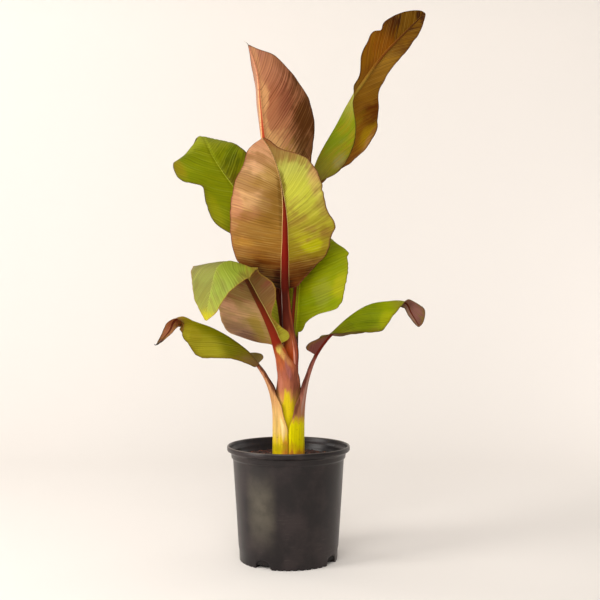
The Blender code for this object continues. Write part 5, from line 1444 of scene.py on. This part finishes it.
def plastic_material():
    """Satin black plastic with its wear and a painted highlight."""
    material, tree, shader = new_material("black_plastic_worn_and_highlit")
    looks = use_group(tree, wear_and_highlight_group(), {"Place": place_on(tree)})
    give(tree, shader, {
        "Base Color": looks["Colour"], "Roughness": looks["Roughness"], "Specular IOR Level": PLASTIC_SHINE,
        "Normal": relief(tree, looks["Height"], PLASTIC_RELIEF)})
    return material


def soil_material():
    """Dark red-brown mix: lumps from near black to rust, very rough, and painted shade that turns it near
    black low in the pot, where it shows through the drains.
    """
    material, tree, shader = new_material("potting_soil_lumpy")
    place = place_on(tree)
    lumps = noise(tree, place, 210.0, detail=6.0, roughness=0.7)
    # painted shade: below 15 cm the soil goes near black
    painted_shade = stepped(tree, parts_of(tree, place)[2], 0.15, 0.2, 0.92, 0.0)
    colour = mixed(tree, painted_shade, ramp(tree, lumps, SOIL_TONES), linear(PAINTED_SHADE_SOIL))
    give(tree, shader, {"Base Color": colour, "Roughness": SOIL_ROUGHNESS,
                        "Normal": relief(tree, lumps, SOIL_RELIEF)})
    return material


def chip_material():
    """Bark chips, each with its own tone from near black to rust brown."""
    material, tree, shader = new_material("bark_chips")
    grain = maths(tree, "SUBTRACT", noise(tree, place_on(tree), 500.0, detail=3.0), 0.5)
    tone = maths(tree, "MULTIPLY_ADD", grain, 0.5, stored(tree, "chip_tone"))
    give(tree, shader, {"Base Color": ramp(tree, tone, BARK_TONES), "Roughness": BARK_ROUGHNESS})
    return material


def thread_material(name, thread):
    """Skin of a withered tip: from one colour to another between two heights."""
    material, tree, shader = new_material(name)
    low, high = thread["heights"]
    height = parts_of(tree, place_on(tree))[2]
    share = add(tree, "MapRange", {0: height, 1: low * MM, 2: high * MM}).outputs[0]
    give(tree, shader, {"Base Color": ramp(tree, share, thread["colours"]), "Roughness": THREAD_ROUGHNESS})
    return material


# Stage

def make_stage():
    """Seamless pale floor that sweeps up behind the plant: a level run, a quarter circle and a wall."""
    material, tree, shader = new_material("stage_paper")
    give(tree, shader, {"Base Color": linear(PAPER), "Roughness": PAPER_ROUGHNESS,
                        "Specular IOR Level": PAPER_SHINE})
    sweep = np.linspace(0, math.pi / 2, SWEEP_STEPS)
    y = np.concatenate([[STAGE_FRONT], STAGE_TURN + STAGE_SWEEP * np.sin(sweep), [STAGE_TURN + STAGE_SWEEP]])
    z = np.concatenate([[0.0], STAGE_SWEEP * (1 - np.cos(sweep)), [STAGE_TOP]])
    x = np.linspace(-STAGE_HALF_WIDTH, STAGE_HALF_WIDTH, 3)
    grid = np.stack([x + 0 * y[:, None], y[:, None] + 0 * x, z[:, None] + 0 * x], axis=-1) / MM
    number = np.arange(len(y) * len(x)).reshape(len(y), len(x))
    add_mesh("stage_floor", grid.reshape(-1, 3), cells(number).tolist(), material)


def make_lights():
    """A tall soft light on the left, a broad one over the camera, and two behind that light the paper."""
    for name, place, aim, size, power, colour in LIGHTS:
        lamp = bpy.data.lights.new(name, "AREA")
        lamp.shape = "RECTANGLE"
        lamp.size, lamp.size_y = size
        lamp.energy = power
        lamp.color = colour
        x, y, z = np.subtract(aim, place)
        thing = link(name, lamp)
        thing.location = place
        thing.rotation_euler = (math.atan2(math.hypot(x, y), -z), 0.0, math.pi + math.atan2(x, -y))
    world = bpy.data.worlds.new("studio")
    world.use_nodes = True
    sky = world.node_tree.nodes["Background"]
    give(world.node_tree, sky, {"Color": WORLD_COLOUR, "Strength": WORLD_STRENGTH})
    bpy.context.scene.world = world


def make_camera():
    """Level camera at the photograph's place and lens."""
    camera = bpy.data.cameras.new("camera")
    camera.sensor_width = SENSOR
    camera.lens = SENSOR * LENS_PIXELS / PICTURE_PIXELS
    camera.dof.use_dof = False
    thing = link("camera", camera)
    thing.location = [value * MM for value in CAMERA_PLACE]
    thing.rotation_euler = (math.pi / 2, 0.0, 0.0)
    bpy.context.scene.camera = thing


def main():
    """Grow the leaves, fill the pot, and set the stage."""
    make_pot(plastic_material())
    make_soil(soil_material(), chip_material())
    groups = {"veins": vein_group(), "place": share_group(), "skin": skin_group(), "spot": spot_group()}
    for name, leaf in LEAVES.items():
        material = leaf_material(name, {**PLAIN_SKIN, **SKINS[name]}, groups)
        make_leaf(name, leaf, material)
    for name, thread in THREADS.items():
        make_thread(name, thread, thread_material(name, thread))
    make_stage()
    make_lights()
    make_camera()
    bpy.context.scene.view_settings.view_transform = "Standard"


main()
